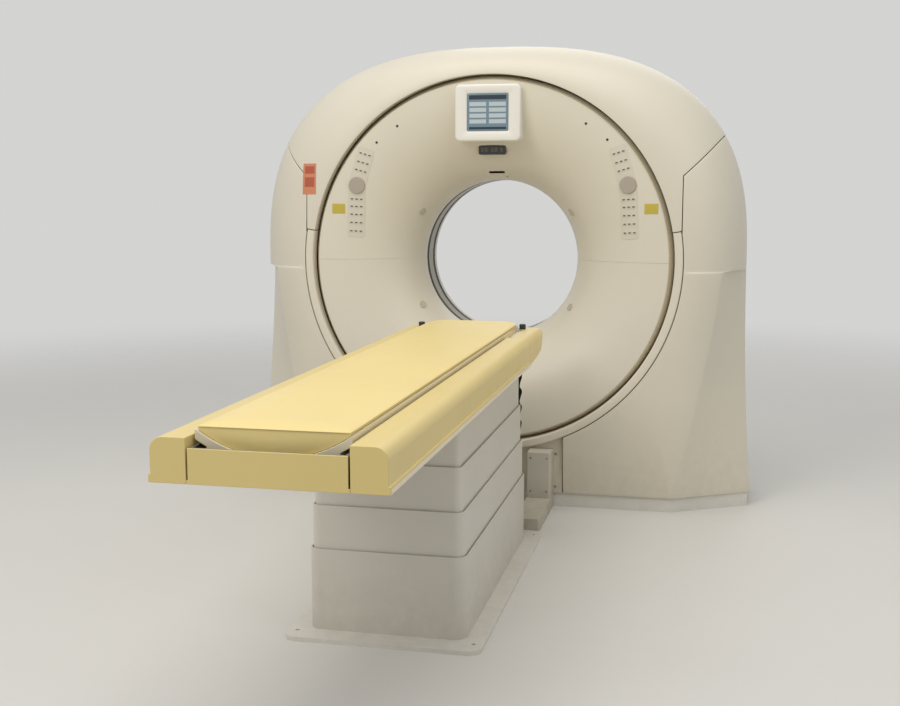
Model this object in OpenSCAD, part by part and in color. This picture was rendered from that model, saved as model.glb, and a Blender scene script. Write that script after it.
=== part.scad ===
// Computed tomography scanner: a gantry whose drum tilts inside a fixed moulded shell,
// and a patient table that lifts and slides its cradle through the bore.
// The origin is on the floor below the isocentre, +Y runs from the table to the rear, +Z is up.

/* [Gantry] */
// Height of the isocentre above the floor
iso_h = 1070; // [1050:5:1090]
// Radius of the patient bore
bore_r = 350; // [345:1:360]
// Radius of the front disc of the tilting drum
disc_r = 765; // [755:1:770]
// Distance of the disc's face from the isocentre
disc_y = 400; // [395:1:405]
// Half length of the straight part of the bore
bore_half = 75; // [65:1:85]
// Wall of the drum's moulded covers
cover_t = 5; // [4:0.5:6]

/* [Outer shell] */
// Half width of the shell at the isocentre's height
shell_w = 1087; // [1070:1:1110]
// Height of the shell's crown above the isocentre
shell_h = 930; // [925:1:950]
// Half width of the shell at the floor
foot_w = 1130; // [1110:1:1160]
// Distance of the shell's front edge from the isocentre
shell_y = 415; // [412:1:420]
// Distance from the isocentre at which the curved front meets the flat side
side_y = 100; // [80:1:130]
// Radius of the shell's round opening
opening_r = 790; // [788:1:796]
// Wall of the shell
shell_t = 5; // [4:0.5:6]
// Squareness of the shell's crown, where 2 is an ellipse
crown_n = 2.65; // [2.5:0.05:2.8]
// Width of the trim band round the lower opening
trim_w = 35; // [30:1:40]
// Gap between neighbouring covers
seam = 4; // [3:0.5:6]
// Angle of the top cover's seam at the opening
seam_in = 14; // [12:1:16]
// Angle of the top cover's seam at the outline
seam_out = 28; // [25:1:30]
// Drop of the side ledge below the isocentre
ledge_drop = 40; // [30:1:50]
// Half width of the front lower panel
apron_w = 330; // [310:1:350]
// Height of the plinth strip
plinth_h = 62; // [55:1:70]

/* [Gantry structure] */
// Diameter of the trunnion shafts
trunnion_d = 100; // [90:1:110]
// Running clearance round shafts and bearings, on the diameter
run_c = 0.06; // [0.04:0.01:0.08]
// Radius of the drum's bearing, at the race joint
race_r = 440; // [435:1:445]
// Distance of the rotor plate's front face behind the isocentre
rotor_y = 80; // [78:1:84]
// Thickness of the rotor plate
rotor_t = 20; // [16:1:22]
// Outer radius of the rotor plate
rotor_r = 770; // [765:1:772]
// Diameter of the floor anchor holes
anchor_d = 18; // [16:1:20]

/* [Table] */
// Height of the table's side rails above the floor
rail_h = 820; // [815:1:825]
// Height of the centre that the cradle's section is drawn about, above the side rails
cradle_rise = 270; // [268:1:275]
// Half width of the table across its rails
table_w = 282; // [276:1:290]
// Half width of the sliding cradle
cradle_w = 188; // [184:1:192]
// Gap between the cradle and a side rail
rail_gap = 6; // [4:1:8]
// Depth of the side rails
rail_d = 108; // [100:1:115]
// Distance of the table's tip from the isocentre
tip_y = 672; // [660:1:690]
// Length of the table
table_l = 2360; // [2300:10:2420]
// Clearance between the cradle's underside and the bore
cradle_c = 12; // [10:1:15]
// Thickness of the cradle's shell
cradle_t = 20; // [16:1:24]
// Thickness of the mattress
pad_t = 24; // [20:1:30]
// Wall of the table's moulded covers
table_t = 4; // [3:0.5:5]
// Distance of the lifting column's centre from the isocentre
column_y = 1490; // [1480:5:1520]
// Travel of the table downwards from rest
lift_down = 400; // [380:5:400]

/* [Hidden] */

$fn = 96;
// Radius of the sphere that the drum tilts in
drum_r = sqrt(disc_r * disc_r + disc_y * disc_y);
// Gap between pieces that lie on each other
seat = 0.3;
// Lower edge of the covers above the floor, and its depth below the isocentre
skirt_z = plinth_h + 0.4;
skirt = iso_h - skirt_z;
// Radius at which the side covers start, outside the trim band
side_r = opening_r + trim_w + 3;
lip_y = 30;
trim_edge = 8;
band_gap = 0.3;
plinth_in = 10;

// Base, uprights and bearings
arch_gap = 20;
arch_r = ceil(drum_r) + arch_gap;
arch_t = 14;
arch_l = 50;
upright_x = arch_r + 6;
upright_t = 80;
base_w = upright_x + upright_t + 5;
base_l = 500;
base_z = 30;
base_t = 20;
beam_y = 130;
beam_t = 100;
beam_h = 110;
beam_top = base_z + base_t + beam_h;
anchor_x = upright_x - 60;
anchor_y = 215;
upright_head = 120;
upright_foot = 180;
bearing_d = 180;
trunnion_end = 30;
bracket_t = 6;

// Tilting frame and what it carries
race_t = 25;
race_seat = 0.05;
band_t = 4;
race_y = 150;
race_l = 60;
frame_y = 160;
frame_t = 36;
plate_r = sqrt(pow(drum_r - band_t, 2) - pow(frame_y + frame_t, 2)) - seat;
arm_x = 788;
arm_t = 34;
arm_h = 80;
rib_h = 20;
band_y = disc_y - cover_t - 0.2;
disc_seam = 0.1;
throat_l = 8;
throat_y = bore_half + throat_l;
window_t = 3;
seal_l = 36;
seal_gap = 0.1;
motor_x = -420;
motor_z = -420;
motor_d = 190;
motor_y = 258;
motor_l = 48;
pulley_r = 50;
shaft_d = 24;
belt_t = 6;
belt_y = 221;
belt_l = 28;
belt_c = 0.2;
belt_n = 160;

// Rotor
hub_r = race_r - race_t;
hub_t = 15;
rim_r = 455;
rim_t = 20;
rim_y = 212;
tube_z = 610;
tube_d = 220;
tube_l = 300;
focus_z = 570;
detector_r = 1050;
detector_t = 80;
fan_a = 24;
slip_in = rim_r + 105;
slip_out = rotor_r - 50;
slip_y = rotor_y + rotor_t;
slip_t = 25;
slip_pitch = 30;
track_w = 6;
brush_x = 160;
brush_w = 120;
weight_in = 575;
weight_l = 150;
weight_w = 80;
side_weight = 77;
low_weight = 98;
tank_w = 220;
tank_h = 340;
tank_l = 230;
tank_x = rotor_r - tank_w / 2 - 80;
cooler_w = 200;
cooler_x = rotor_r - cooler_w / 2 - 62;
fin_pitch = 20;

// Fittings on the front of the disc
light_d = 34;
light_r = 395;
light_a = 32;
light_proud = 4;
display_w = 282;
display_h = 238;
display_z = 627;
display_front = 438;
display_back = 326;
bezel_t = 6;
screen_w = 178;
screen_h = 157;
status_w = 120;
status_h = 41;
status_z = 476;
status_front = 326;
status_back = 290;
slot_w = 72;
slot_h = 9;
slot_z = 378;
film_gap = 0.2;
film_t = 1.4;
pad_x = 590;
pad_z = 325;
lean_up = 17;
lean_down = 3;
jog_d = 70;
jog_t = 6;
jog_travel = 1.5;
keypad_w = 74;
keypad_up = 168;
keypad_down = 226;
key_rows = [140, 102, 66, -60, -92, -127, -163, -200];
key_w = 16;
key_h = 10;
key_pitch = 20;

// Table
column_w = 500;
column_l = 1150;
stage_t = 4;
stage_step = 8;
nest_step = 8;
stage_n = 3;
stage_h = 258;
base_plate_w = 620;
base_plate_t = 14;
table_under = rail_h - rail_d;
table_end = tip_y + table_l;
nose_l = 368;
cradle_r = bore_r - cradle_c;
frame_w = 190;
tray_t = 10;
guide_x = 140;
guide_w = 24;
guide_h = 16;
bellows_y = column_y - column_l / 2;
bellows_l = 66;
bellows_w = 450;
fold_n = 22;
duct_w = 100;
duct_x = 240;
duct_h = 258;
table_front = bellows_y - bellows_l - 20;
table_anchor_d = 14;
screw_d = 42;
rim_h = 20;
rim_w = 5;
rail_round = 32;
tip_round = 70;
pad_w = 182;
cradle_z = rail_h + cradle_rise;
cradle_off = cradle_z - iso_h;
pad_top = cradle_z - rail_h - pad_t;

function lerp(a, b, s) = a + (b - a) * s;
// Distance from the isocentre to the crown's outline at an angle
function outline(a) = 1 / pow(pow(abs(cos(a)) / shell_w, crown_n)
  + pow(abs(sin(a)) / shell_h, crown_n), 1 / crown_n);
// Half depth of the drum's mouth at a radius, a quarter ellipse from the bore to the disc
function mouth(r) = throat_y + (disc_y - throat_y)
  * sqrt(max(0, 1 - pow((disc_r - r) / (disc_r - bore_r), 2)));

// Turns a profile of radius and depth about the bore's axis
module about_bore(from = 0, angle = 360) {
  translate([0, 0, iso_h]) rotate([-90, 0, 0]) rotate([0, 0, -from])
    rotate_extrude(angle = angle, $fn = 96) children();
}
// A ring about the bore's axis
module ring(inner, outer, y, l) {
  translate([0, y, iso_h]) rotate([-90, 0, 0]) difference() {
    cylinder(r = outer, h = l);
    translate([0, 0, -1]) cylinder(r = inner, h = l + 2);
  }
}
// A round bar along Y about a point of the gantry, from the isocentre
module bar_y(d, y, l, x = 0, z = 0) {
  translate([x, y, iso_h + z]) rotate([-90, 0, 0]) cylinder(d = d, h = l);
}
// A round bar along X through the trunnion axis
module bar_x(d, x, l, y = 0, z = 0) {
  translate([x, y, iso_h + z]) rotate([0, 90, 0]) cylinder(d = d, h = l);
}
// A block with round upright corners, centred in X and Y
module block(w, l, h, r) {
  linear_extrude(h) rounded(w, l, r);
}
module rounded(w, l, r) {
  square([w - 2 * r, l], center = true);
  square([w, l - 2 * r], center = true);
  for (x = [-1, 1], y = [-1, 1])
    translate([x * (w / 2 - r), y * (l / 2 - r)]) circle(r = r, $fn = 32);
}
module mirrored() {
  children();
  mirror([1, 0, 0]) children();
}

// A moulded cover: a grid of outer points and a grid of inner points, closed along the edges
function quad(a, b, c, d) = [[a, b, c], [a, c, d]];
module moulded(outer, inner) {
  n = len(outer);
  m = len(outer[0]);
  points = [for (g = [outer, inner], row = g, p = row) p + [0, 0, iso_h]];
  function o(i, j) = i * m + j;
  function q(i, j) = n * m + i * m + j;
  faces = concat(
    [for (i = [0:n - 2], j = [0:m - 2]) quad(o(i, j), o(i, j + 1), o(i + 1, j + 1), o(i + 1, j))],
    [for (i = [0:n - 2], j = [0:m - 2]) quad(q(i, j), q(i + 1, j), q(i + 1, j + 1), q(i, j + 1))],
    [for (i = [0:n - 2]) quad(o(i, 0), o(i + 1, 0), q(i + 1, 0), q(i, 0))],
    [for (i = [0:n - 2]) quad(o(i, m - 1), q(i, m - 1), q(i + 1, m - 1), o(i + 1, m - 1))],
    [for (j = [0:m - 2]) quad(o(0, j), q(0, j), q(0, j + 1), o(0, j + 1))],
    [for (j = [0:m - 2])
      quad(o(n - 1, j), o(n - 1, j + 1), q(n - 1, j + 1), q(n - 1, j))]);
  polyhedron(points, [for (pair = faces, f = pair) f], convexity = 6);
}

// Steps of the quarter turn from the opening to the outline
curve_n = 9;
// Radius and depth of the shell at step j, for an outline at distance o, with its wall inset by t
function front_at(j, o, start, t) =
  let (a0 = asin((start - opening_r) / (o - opening_r)), a = lerp(a0, 90, max(0, j - 1) / curve_n),
    y = lerp(-shell_y, -side_y, 1 - cos(a)))
  j == 0 ? [start + t, lip_y - shell_y]
  : j == 1 ? [start + t, y + t]
  : j <= curve_n + 1 ? [opening_r + (o - opening_r) * sin(a) - t * sin(a), y + t * cos(a)]
  : [o - t, -seam / 2];
// Angle of the seam between the top and side covers at a radius
function seam_at(r) = lerp(seam_in, seam_out,
  max(0, min(1, (r - opening_r - trim_w) / (shell_w - opening_r - trim_w))));
// Grid of the arch over the drum
arch_n = 24;
function arch_grid(t) = [for (i = [0:arch_n]) [for (j = [0:curve_n + 2])
  let (r = front_at(j, shell_w, opening_r, 0)[0], low = seam_at(r) + asin(seam / 2 / r),
    a = lerp(180 - low, low, i / arch_n), p = front_at(j, outline(a), opening_r, t))
  [p[0] * cos(a), p[1], p[0] * sin(a)]]];

// Rows of a side cover above the ledge, down to the floor and along it to the apron
upper_n = 5;
side_n = 6;
floor_n = 5;
crease_j = 6;
crease_x = 985;
crease_foot = 800;
crease_y = 345;
apron_y = 392;
foot_y = 190;
foot_flange = 30;
apron_a = acos((apron_w + seam) / side_r);
ledge_rise = 6;
function side_grid(t) = concat(
  [for (i = [0:upper_n]) [for (j = [0:curve_n + 2])
    let (r = front_at(j, shell_w, side_r, 0)[0], high = seam_at(r) - asin(seam / 2 / r),
      a = lerp(high, -asin((ledge_drop - ledge_rise) / r), i / upper_n),
      p = front_at(j, outline(max(a, 0)), side_r, t))
    [p[0] * cos(a), p[1], p[0] * sin(a)]]],
  [for (i = [0:side_n + floor_n]) [for (j = [0:curve_n + 2]) lower_at(i, j, t)]]);
// Point of the side cover below its ledge: scooped to a crease, then sloping back to the edge
function lower_at(i, j, t) =
  let (s = min(1, i / side_n), f = max(0, (i - side_n) / floor_n),
    a = lerp(-asin(ledge_drop / side_r), -apron_a, i / (side_n + floor_n)),
    z = -lerp(ledge_drop, skirt, s) + (s == 1 ? t : 0),
    front = f > 0 ? [lerp(crease_foot, apron_w + seam, f), z]
      : [lerp(crease_x, crease_foot, pow(s, 1.3)), z],
    front_y = t - lerp(crease_y, apron_y, max(s * s, f)),
    back = f > 0 ? front : [lerp(shell_w, foot_w, s * s) - t, z],
    back_y = f > 0 ? front_y + foot_flange : -lerp(side_y, foot_y, s),
    end_y = f > 0 ? front_y + 2 * foot_flange : -seam / 2,
    u = (j - 1) / (crease_j - 1), v = (j - crease_j) / (curve_n + 1 - crease_j),
    start = (side_r + (j <= 1 ? t : 0)) * [cos(a), sin(a)])
  j == 0 ? [start[0], lip_y - shell_y, start[1]]
  : j <= crease_j ? [lerp(start[0], front[0], u), lerp(t + 2 - shell_y, front_y, u * u),
    lerp(start[1], front[1], u)]
  : j <= curve_n + 1 ? [lerp(front[0], back[0], v), lerp(front_y, back_y, v), z]
  : [back[0], end_y, z];

module top_front_cover() {
  color("antiquewhite") moulded(arch_grid(0), arch_grid(shell_t));
}
module top_rear_cover() {
  color("antiquewhite") mirror([0, 1, 0]) top_front_cover();
}
module right_front_cover() {
  color("antiquewhite") difference() {
    moulded(side_grid(0), side_grid(shell_t));
    translate([0, 0, skirt_z - 5]) linear_extrude(shell_t + 10) plinth_outline(50);
  }
}
module left_front_cover() {
  color("antiquewhite") mirror([1, 0, 0]) right_front_cover();
}
module right_rear_cover() {
  color("antiquewhite") mirror([0, 1, 0]) right_front_cover();
}
module left_rear_cover() {
  color("antiquewhite") mirror([1, 0, 0]) right_rear_cover();
}

// Panel under the disc, between the side covers, with its upper edge round the trim band
module front_apron() {
  color("antiquewhite") difference() {
    union() {
      translate([-apron_w, -apron_y, skirt_z]) cube([2 * apron_w, shell_t, iso_h - skirt_z]);
      for (x = [-apron_w, apron_w - shell_t])
        translate([x, -apron_y, skirt_z]) cube([shell_t, foot_flange, iso_h - skirt_z]);
    }
    bar_y(2 * side_r, -shell_y, shell_y);
    bar_y(2 * (side_r + 14), shell_t - apron_y, shell_y);
  }
}
module rear_apron() {
  color("antiquewhite") mirror([0, 1, 0]) front_apron();
}

// Rounded bands that edge the lower part of both openings, clipped behind the side covers' lips
module trim_bands() {
  color("antiquewhite") {
    trim_band();
    mirror([0, 1, 0]) trim_band();
  }
}
module trim_band() {
  about_bore(360 + seam_in - band_gap, 180 + 2 * seam_in - 2 * band_gap)
    translate([opening_r, -shell_y]) difference() {
      union() {
        translate([0, trim_edge]) square([trim_w, lip_y + seat - trim_edge]);
        translate([trim_edge, 0]) square([trim_w - 2 * trim_edge, lip_y]);
        for (x = [trim_edge, trim_w - trim_edge]) translate([x, trim_edge]) circle(r = trim_edge);
        translate([0, lip_y + seat]) square([trim_w + 3 + shell_t + 6, shell_t]);
      }
      translate([shell_t, shell_t + 1]) square([trim_w - 2 * shell_t, lip_y - shell_t - 1 + seat]);
    }
}

// Angle at which the top cover ends along its outline, and angles of the brackets under it
arch_low = seam_at(shell_w) + asin(seam / 2 / shell_w);
arch_brackets = [for (i = [1:5]) lerp(180 - arch_low, arch_low, i / 6)];
// Arch over the drum and brackets on the uprights and the base, which carry the covers
module cover_brackets() {
  color("silver") difference() {
    union() {
      about_bore(180, 180) translate([arch_r, -arch_l / 2]) square([arch_t, arch_l]);
      intersection() {
        for (a = arch_brackets) translate([0, -arch_l / 2, iso_h]) rotate([0, -a, 0])
          translate([arch_r + 4, 0, -12]) cube([shell_w - arch_r, arch_l, 24]);
        translate([0, arch_l / 2, iso_h]) rotate([90, 0, 0]) linear_extrude(arch_l)
          polygon(concat([[0, 0]], [for (i = [0:arch_n]) let (a = lerp(180 - arch_low, arch_low, i / arch_n))
            (outline(a) - shell_t - seat) * [cos(a), sin(a)]]));
      }
      mirrored() translate([arch_r - 6, -arch_l / 2, iso_h + 100]) cube([70, arch_l, 60]);
    }
    bar_x(2 * (upright_head + seat), -shell_w, 2 * shell_w);
  }
  color("silver") mirrored() {
    z = iso_h - lerp(ledge_drop, skirt, 2 / side_n);
    translate([upright_x + upright_t, -60, z])
      cube([lerp(shell_w, foot_w, 4 / side_n / side_n) - shell_t - seat - 0.2 - upright_x - upright_t,
        120, bracket_t]);
    for (y = [-1, 1]) mirror([0, y < 0 ? 1 : 0, 0])
      translate([apron_w - 130, base_l / 2, base_z + 2])
        cube([60, bracket_t, skirt_z + 40 - base_z]);
    for (y = [-1, 1]) mirror([0, y < 0 ? 1 : 0, 0])
      translate([apron_w - 130, base_l / 2, skirt_z + 36])
        cube([60, apron_y - shell_t - seat - base_l / 2, bracket_t]);
  }
}

// Low strip that closes the gap between the covers and the floor
module plinth() {
  color("ivory") difference() {
    linear_extrude(plinth_h) plinth_outline(0);
    translate([0, 0, -1]) linear_extrude(plinth_h + 2) plinth_outline(shell_t);
  }
}
// Outline of the covers on the floor, set in by the plinth's depth and t
module plinth_outline(t) {
  side = [foot_w - plinth_in - t, foot_y - t / 2];
  front = [crease_foot - plinth_in - t / 2, apron_y - plinth_in - t];
  polygon([for (q = [[1, 1], [-1, 1], [-1, -1], [1, -1]],
    c = q[0] * q[1] > 0 ? [side, front] : [front, side]) [q[0] * c[0], q[1] * c[1]]]);
}
// Duct for the cables between the table and the gantry, with its upright end box
module cable_duct() {
  color("gainsboro") {
    translate([duct_x - duct_w / 2, seat - table_front, 0])
      cube([duct_w, table_front - apron_y - 2 * seat, plinth_h - 2]);
    translate([duct_x, -apron_y - seat - duct_w / 2, 0]) block(duct_w, duct_w, duct_h, 6);
  }
}

// Welded base of box beams on a plate, bolted to the floor at four anchors
module base_frame() {
  color("slategray") difference() {
    union() {
      translate([0, 0, base_z]) block(2 * base_w, base_l, base_t, 30);
      for (y = [-1, 1]) translate([0, y * beam_y, base_z + base_t])
        block(2 * base_w - 40, beam_t, beam_h, 6);
      for (x = [-1, 1]) translate([x * (upright_x + upright_t / 2), 0, base_z + base_t])
        block(upright_t, 2 * beam_y - beam_t, beam_h, 2);
    }
    for (x = [-1, 1], y = [-1, 1])
      translate([x * anchor_x, y * anchor_y, base_z - 1]) cylinder(d = anchor_d, h = base_t + 2);
  }
}
module levelling_feet() {
  color("dimgray") for (q = [[-1, -1], [1, -1], [-1, 1], [1, 1], [0, 0]])
    translate([q[0] * (anchor_x - 90), q[1] * anchor_y, 0]) {
      cylinder(d = 90, h = 12);
      translate([0, 0, 12]) cylinder(d = 30, h = base_z - seat - 12);
    }
}

// Upright of cast steel: a tapered web with a round head that holds a trunnion bearing
module upright() {
  translate([upright_x, 0, 0]) rotate([90, 0, 90]) linear_extrude(upright_t) difference() {
    union() {
      translate([0, iso_h]) circle(r = upright_head);
      polygon([[-upright_foot, beam_top], [upright_foot, beam_top],
        [upright_head * 0.96, iso_h], [-upright_head * 0.96, iso_h]]);
    }
    translate([0, iso_h]) circle(d = bearing_d + 0.1);
    for (z = [0.3, 0.55]) translate([0, lerp(beam_top, iso_h, z)])
      circle(r = lerp(upright_foot, upright_head, z) - 70);
  }
}
module right_upright() {
  color("steelblue") upright();
}
module left_upright() {
  color("steelblue") mirror([1, 0, 0]) upright();
}
module trunnion_bearings() {
  color("silver") mirrored() difference() {
    union() {
      bar_x(bearing_d, upright_x - 6, upright_t + 6);
      bar_x(bearing_d + 30, upright_x - 12, 12);
    }
    bar_x(trunnion_d + run_c, upright_x - 20, upright_t + 40);
  }
}
// Geared motor on the left trunnion, which holds and turns the drum
module tilt_drive() {
  color("dimgray") mirror([1, 0, 0]) difference() {
    union() {
      bar_x(bearing_d - 10, upright_x + upright_t, 92);
      translate([upright_x + upright_t + 52, 0, iso_h - 330]) cylinder(d = 76, h = 280);
      translate([upright_x + upright_t, -50, iso_h - 120]) cube([88, 100, 100]);
    }
    bar_x(trunnion_d + run_c, upright_x + upright_t - 1, trunnion_end + 2);
  }
}

// Tilting frame: a ring plate behind the rotor, with arms that reach forward to the trunnions
module tilt_frame() {
  color("lightsteelblue") difference() {
    union() {
      ring(race_r + race_t + race_seat, plate_r, frame_y, frame_t);
      mirrored() translate([arm_x, -arm_h, iso_h - arm_h])
        cube([arm_t, frame_y + arm_h + frame_t, 2 * arm_h]);
      mirrored() bar_x(trunnion_d, arm_x + arm_t - 1, upright_x + upright_t - arm_x - arm_t + 1);
      mirror([1, 0, 0]) bar_x(trunnion_d, upright_x, upright_t + trunnion_end);
      for (a = [0:30:330]) translate([0, frame_y + frame_t - 1, iso_h]) rotate([0, a, 0])
        translate([race_r + race_t + 4, 0, -8])
          cube([plate_r - race_r - race_t - 40, rib_h + 1, 16]);
    }
    for (a = [0:30:330]) rotate_about_bore(a + 15) bar_y(110, frame_y - 1, frame_t + 2, 650);
  }
}
module rotate_about_bore(a) {
  translate([0, 0, iso_h]) rotate([0, -a, 0]) translate([0, 0, -iso_h]) children();
}
// Band of the drum, part of a sphere, so that the gap to the shell stays the same as it tilts
module drum_shell() {
  color("linen") difference() {
    about_bore() intersection() {
      difference() {
        circle(r = drum_r, $fn = 360);
        circle(r = drum_r - band_t, $fn = 360);
      }
      translate([0, -band_y]) square([drum_r + 1, 2 * band_y]);
    }
    bar_x(trunnion_d + 16, -drum_r - 10, 2 * drum_r + 20);
  }
}
// Half disc of the drum's front, moulded in one sweep from the bore's mouth to the outer edge
mouth_n = 16;
function mouth_curve(t) = concat([[bore_r + t, -bore_half]],
  [for (i = [0:mouth_n]) let (a = 90 * i / mouth_n) [disc_r - (disc_r - bore_r - t) * cos(a),
    -throat_y - (disc_y - throat_y - t) * sin(a)]]);
module half_disc(from) {
  about_bore(from - disc_seam, 180 - 2 * disc_seam) polygon(concat(mouth_curve(0),
    [for (i = [mouth_n + 1:-1:0]) mouth_curve(cover_t)[i]]));
}
module light_seats() {
  for (a = [light_a, 180 - light_a, -light_a, light_a - 180])
    keyed(a, light_r) translate([0, 0, -30]) cylinder(d = light_d + 0.4, h = 60);
}
module front_disc_upper() {
  color("whitesmoke") difference() {
    half_disc(180);
    light_seats();
    display_place() block(display_w + 1, display_h + 1, 200, 22.5);
    status_place() block(status_w + 1, status_h + 1, 200, 8.5);
    translate([-slot_w / 2, -disc_y, iso_h + slot_z]) cube([slot_w, disc_y - bore_half, slot_h]);
  }
}
module front_disc_lower() {
  color("whitesmoke") difference() {
    half_disc(360);
    light_seats();
  }
}
module rear_disc_upper() {
  color("whitesmoke") mirror([0, 1, 0]) half_disc(180);
}
module rear_disc_lower() {
  color("whitesmoke") mirror([0, 1, 0]) half_disc(360);
}
module scan_window() {
  color("rosybrown") ring(bore_r, bore_r + window_t, -bore_half + seal_l + 2 * seal_gap,
    2 * (bore_half - seal_l - 2 * seal_gap));
}
module bore_seals() {
  color("dimgray") for (y = [-bore_half + seal_gap, bore_half - seal_l - seal_gap])
    ring(bore_r, bore_r + cover_t, y, seal_l);
}
// Lenses of the positioning lights round the bore's mouth, set square to its surface
module position_lights() {
  color("white") for (a = [light_a, 180 - light_a, -light_a, light_a - 180])
    keyed(a, light_r) translate([0, 0, -10]) cylinder(d = light_d, h = 10 + light_proud);
}

// Places on the front of the disc, drawn flat and stood upright facing the table
module display_place() {
  translate([0, -display_back, iso_h + display_z]) rotate([90, 0, 0]) children();
}
module status_place() {
  translate([0, -status_back, iso_h + status_z]) rotate([90, 0, 0]) children();
}
module display_housing() {
  color("white") difference() {
    display_place() block(display_w, display_h, display_front - display_back, 22);
    display_place() translate([0, 2, display_front - display_back - bezel_t])
      block(screen_w + 0.6, screen_h + 0.6, bezel_t + 1, 6.3);
    display_place() translate([0, 2, -1])
      block(screen_w - 20, screen_h - 20, display_front - display_back - bezel_t - 7, 6);
  }
}
module display_screen() {
  color("royalblue") display_place() translate([0, 2, display_front - display_back - bezel_t + 0.1])
    block(screen_w, screen_h, bezel_t - 2, 6);
}
module status_display() {
  color("black") status_place() block(status_w, status_h, status_front - status_back, 8);
}

// Slope of the disc's front at a radius
function mouth_slope(r) = let (e = (disc_r - r) / (disc_r - bore_r))
  (disc_y - throat_y) / (disc_r - bore_r) * e / sqrt(1 - e * e);
// Stands a piece upright on the disc at an angle and radius, square to its surface
module keyed(a, r) {
  translate([r * cos(a), -mouth(r), iso_h + r * sin(a)]) rotate([0, -a, 0])
    rotate([0, 0, -atan(mouth_slope(r))]) rotate([90, 0, 0]) rotate([0, 0, -a]) children();
}
// Places a piece on the right keypad, d up or down its bent centre line and e beside it
module on_keypad(d, e = 0) {
  lean = d > 0 ? lean_up : lean_down;
  x = pad_x - d * sin(lean) + e * cos(lean);
  z = pad_z + d * cos(lean) + e * sin(lean);
  keyed(atan2(z, x), norm([x, z])) rotate([0, 0, lean]) children();
}
module keypad_outline() {
  circle(d = keypad_w);
  rotate(lean_up) translate([0, keypad_up / 2]) rounded(keypad_w, keypad_up, 12);
  rotate(lean_down) translate([0, -keypad_down / 2]) rounded(keypad_w, keypad_down, 12);
}
// Keypad film on one side of the disc, with rows of three raised keys above and below the jog
module keypad() {
  difference() {
    union() {
      intersection() {
        about_bore(80, 100) polygon(concat(mouth_curve(-film_gap - film_t),
          [for (i = [mouth_n + 1:-1:0]) mouth_curve(-film_gap)[i]]));
        translate([pad_x, 0, iso_h + pad_z]) rotate([90, 0, 0])
          linear_extrude(disc_y + 20) keypad_outline();
      }
      for (d = key_rows, e = [-1, 0, 1]) on_keypad(d, e * key_pitch)
        translate([0, 0, film_gap + film_t / 2]) linear_extrude(film_t / 2 + 1.2)
          rounded(key_w, key_h, 2);
    }
    on_keypad(0) translate([0, 0, -10]) cylinder(d = jog_d + 1, h = 30);
  }
}
module jog_button() {
  on_keypad(0) translate([0, 0, jog_travel + 0.6]) cylinder(d = jog_d, h = jog_t);
}
module right_keypad() {
  color("lightgray") keypad();
}
module left_keypad() {
  color("lightgray") mirror([1, 0, 0]) keypad();
}
module right_jog_button() {
  color("darkgray") jog_button();
}
module left_jog_button() {
  color("darkgray") mirror([1, 0, 0]) jog_button();
}

// Outer race of the main bearing, held in the ring plate
module outer_race() {
  color("silver") ring(race_r + run_c / 2, race_r + race_t, race_y, race_l);
}
// Flat motor behind the ring plate, on three standoffs
module drive_motor() {
  color("dimgray") difference() {
    union() {
      bar_y(motor_d, motor_y, motor_l, motor_x, motor_z);
      for (a = [45, 165, 285]) bar_y(20, frame_y + frame_t, motor_y - frame_y - frame_t + 1,
        motor_x + 80 * cos(a), motor_z + 80 * sin(a));
    }
    bar_y(shaft_d + run_c, motor_y - 1, motor_l - 9, motor_x, motor_z);
  }
}
module motor_pulley() {
  color("silver") {
    bar_y(2 * pulley_r, belt_y, belt_l, motor_x, motor_z);
    bar_y(shaft_d, belt_y + 1, motor_y + motor_l - 12 - belt_y, motor_x, motor_z);
  }
}
// Flat belt from the motor to the rotor's rim: two arcs and two tangents
module drive_belt() {
  far = norm([motor_x, motor_z]);
  color("black") translate([0, belt_y, iso_h]) rotate([0, -atan2(motor_z, motor_x), 0])
    rotate([90, 0, 0]) translate([0, 0, -belt_l]) linear_extrude(belt_l) difference() {
      belt_loop(far, rim_r + belt_c + belt_t, pulley_r + belt_c + belt_t);
      belt_loop(far, rim_r + belt_c, pulley_r + belt_c);
    }
}
module belt_loop(far, big, small) {
  a = acos((big - small) / far);
  polygon(concat(
    [for (i = [0:belt_n]) let (b = lerp(a, 360 - a, i / belt_n)) big * [cos(b), sin(b)]],
    [for (i = [0:24]) let (b = lerp(-a, a, i / 24)) [far, 0] + small * [cos(b), sin(b)]]));
}
// Carbon brushes that feed the slip ring, on the front of the ring plate
module brush_block() {
  color("saddlebrown") translate([0, 0, iso_h]) for (x = [-1, 1])
    translate([x * brush_x - brush_w / 2, slip_y + slip_t + seat, 20 - slip_out])
      cube([brush_w, frame_y - slip_y - slip_t - seat, brush_w]);
}

// Rotor: a ring plate with a hub for the bearing and a belt rim
module rotor() {
  color("lightslategray") difference() {
    union() {
      ring(hub_r - hub_t, rotor_r, rotor_y, rotor_t);
      ring(hub_r - hub_t, hub_r, rotor_y, rim_y - rotor_y + 1);
      ring(hub_r - hub_t + 4, rim_r, rim_y, 8);
      ring(rim_r - rim_t, rim_r, rim_y, belt_y + belt_l + 2 - rim_y);
    }
    for (a = [0:20:340]) rotate_about_bore(a + 10) bar_y(30, rotor_y - 1, rotor_t + 2, rotor_r - 25);
  }
}
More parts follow.
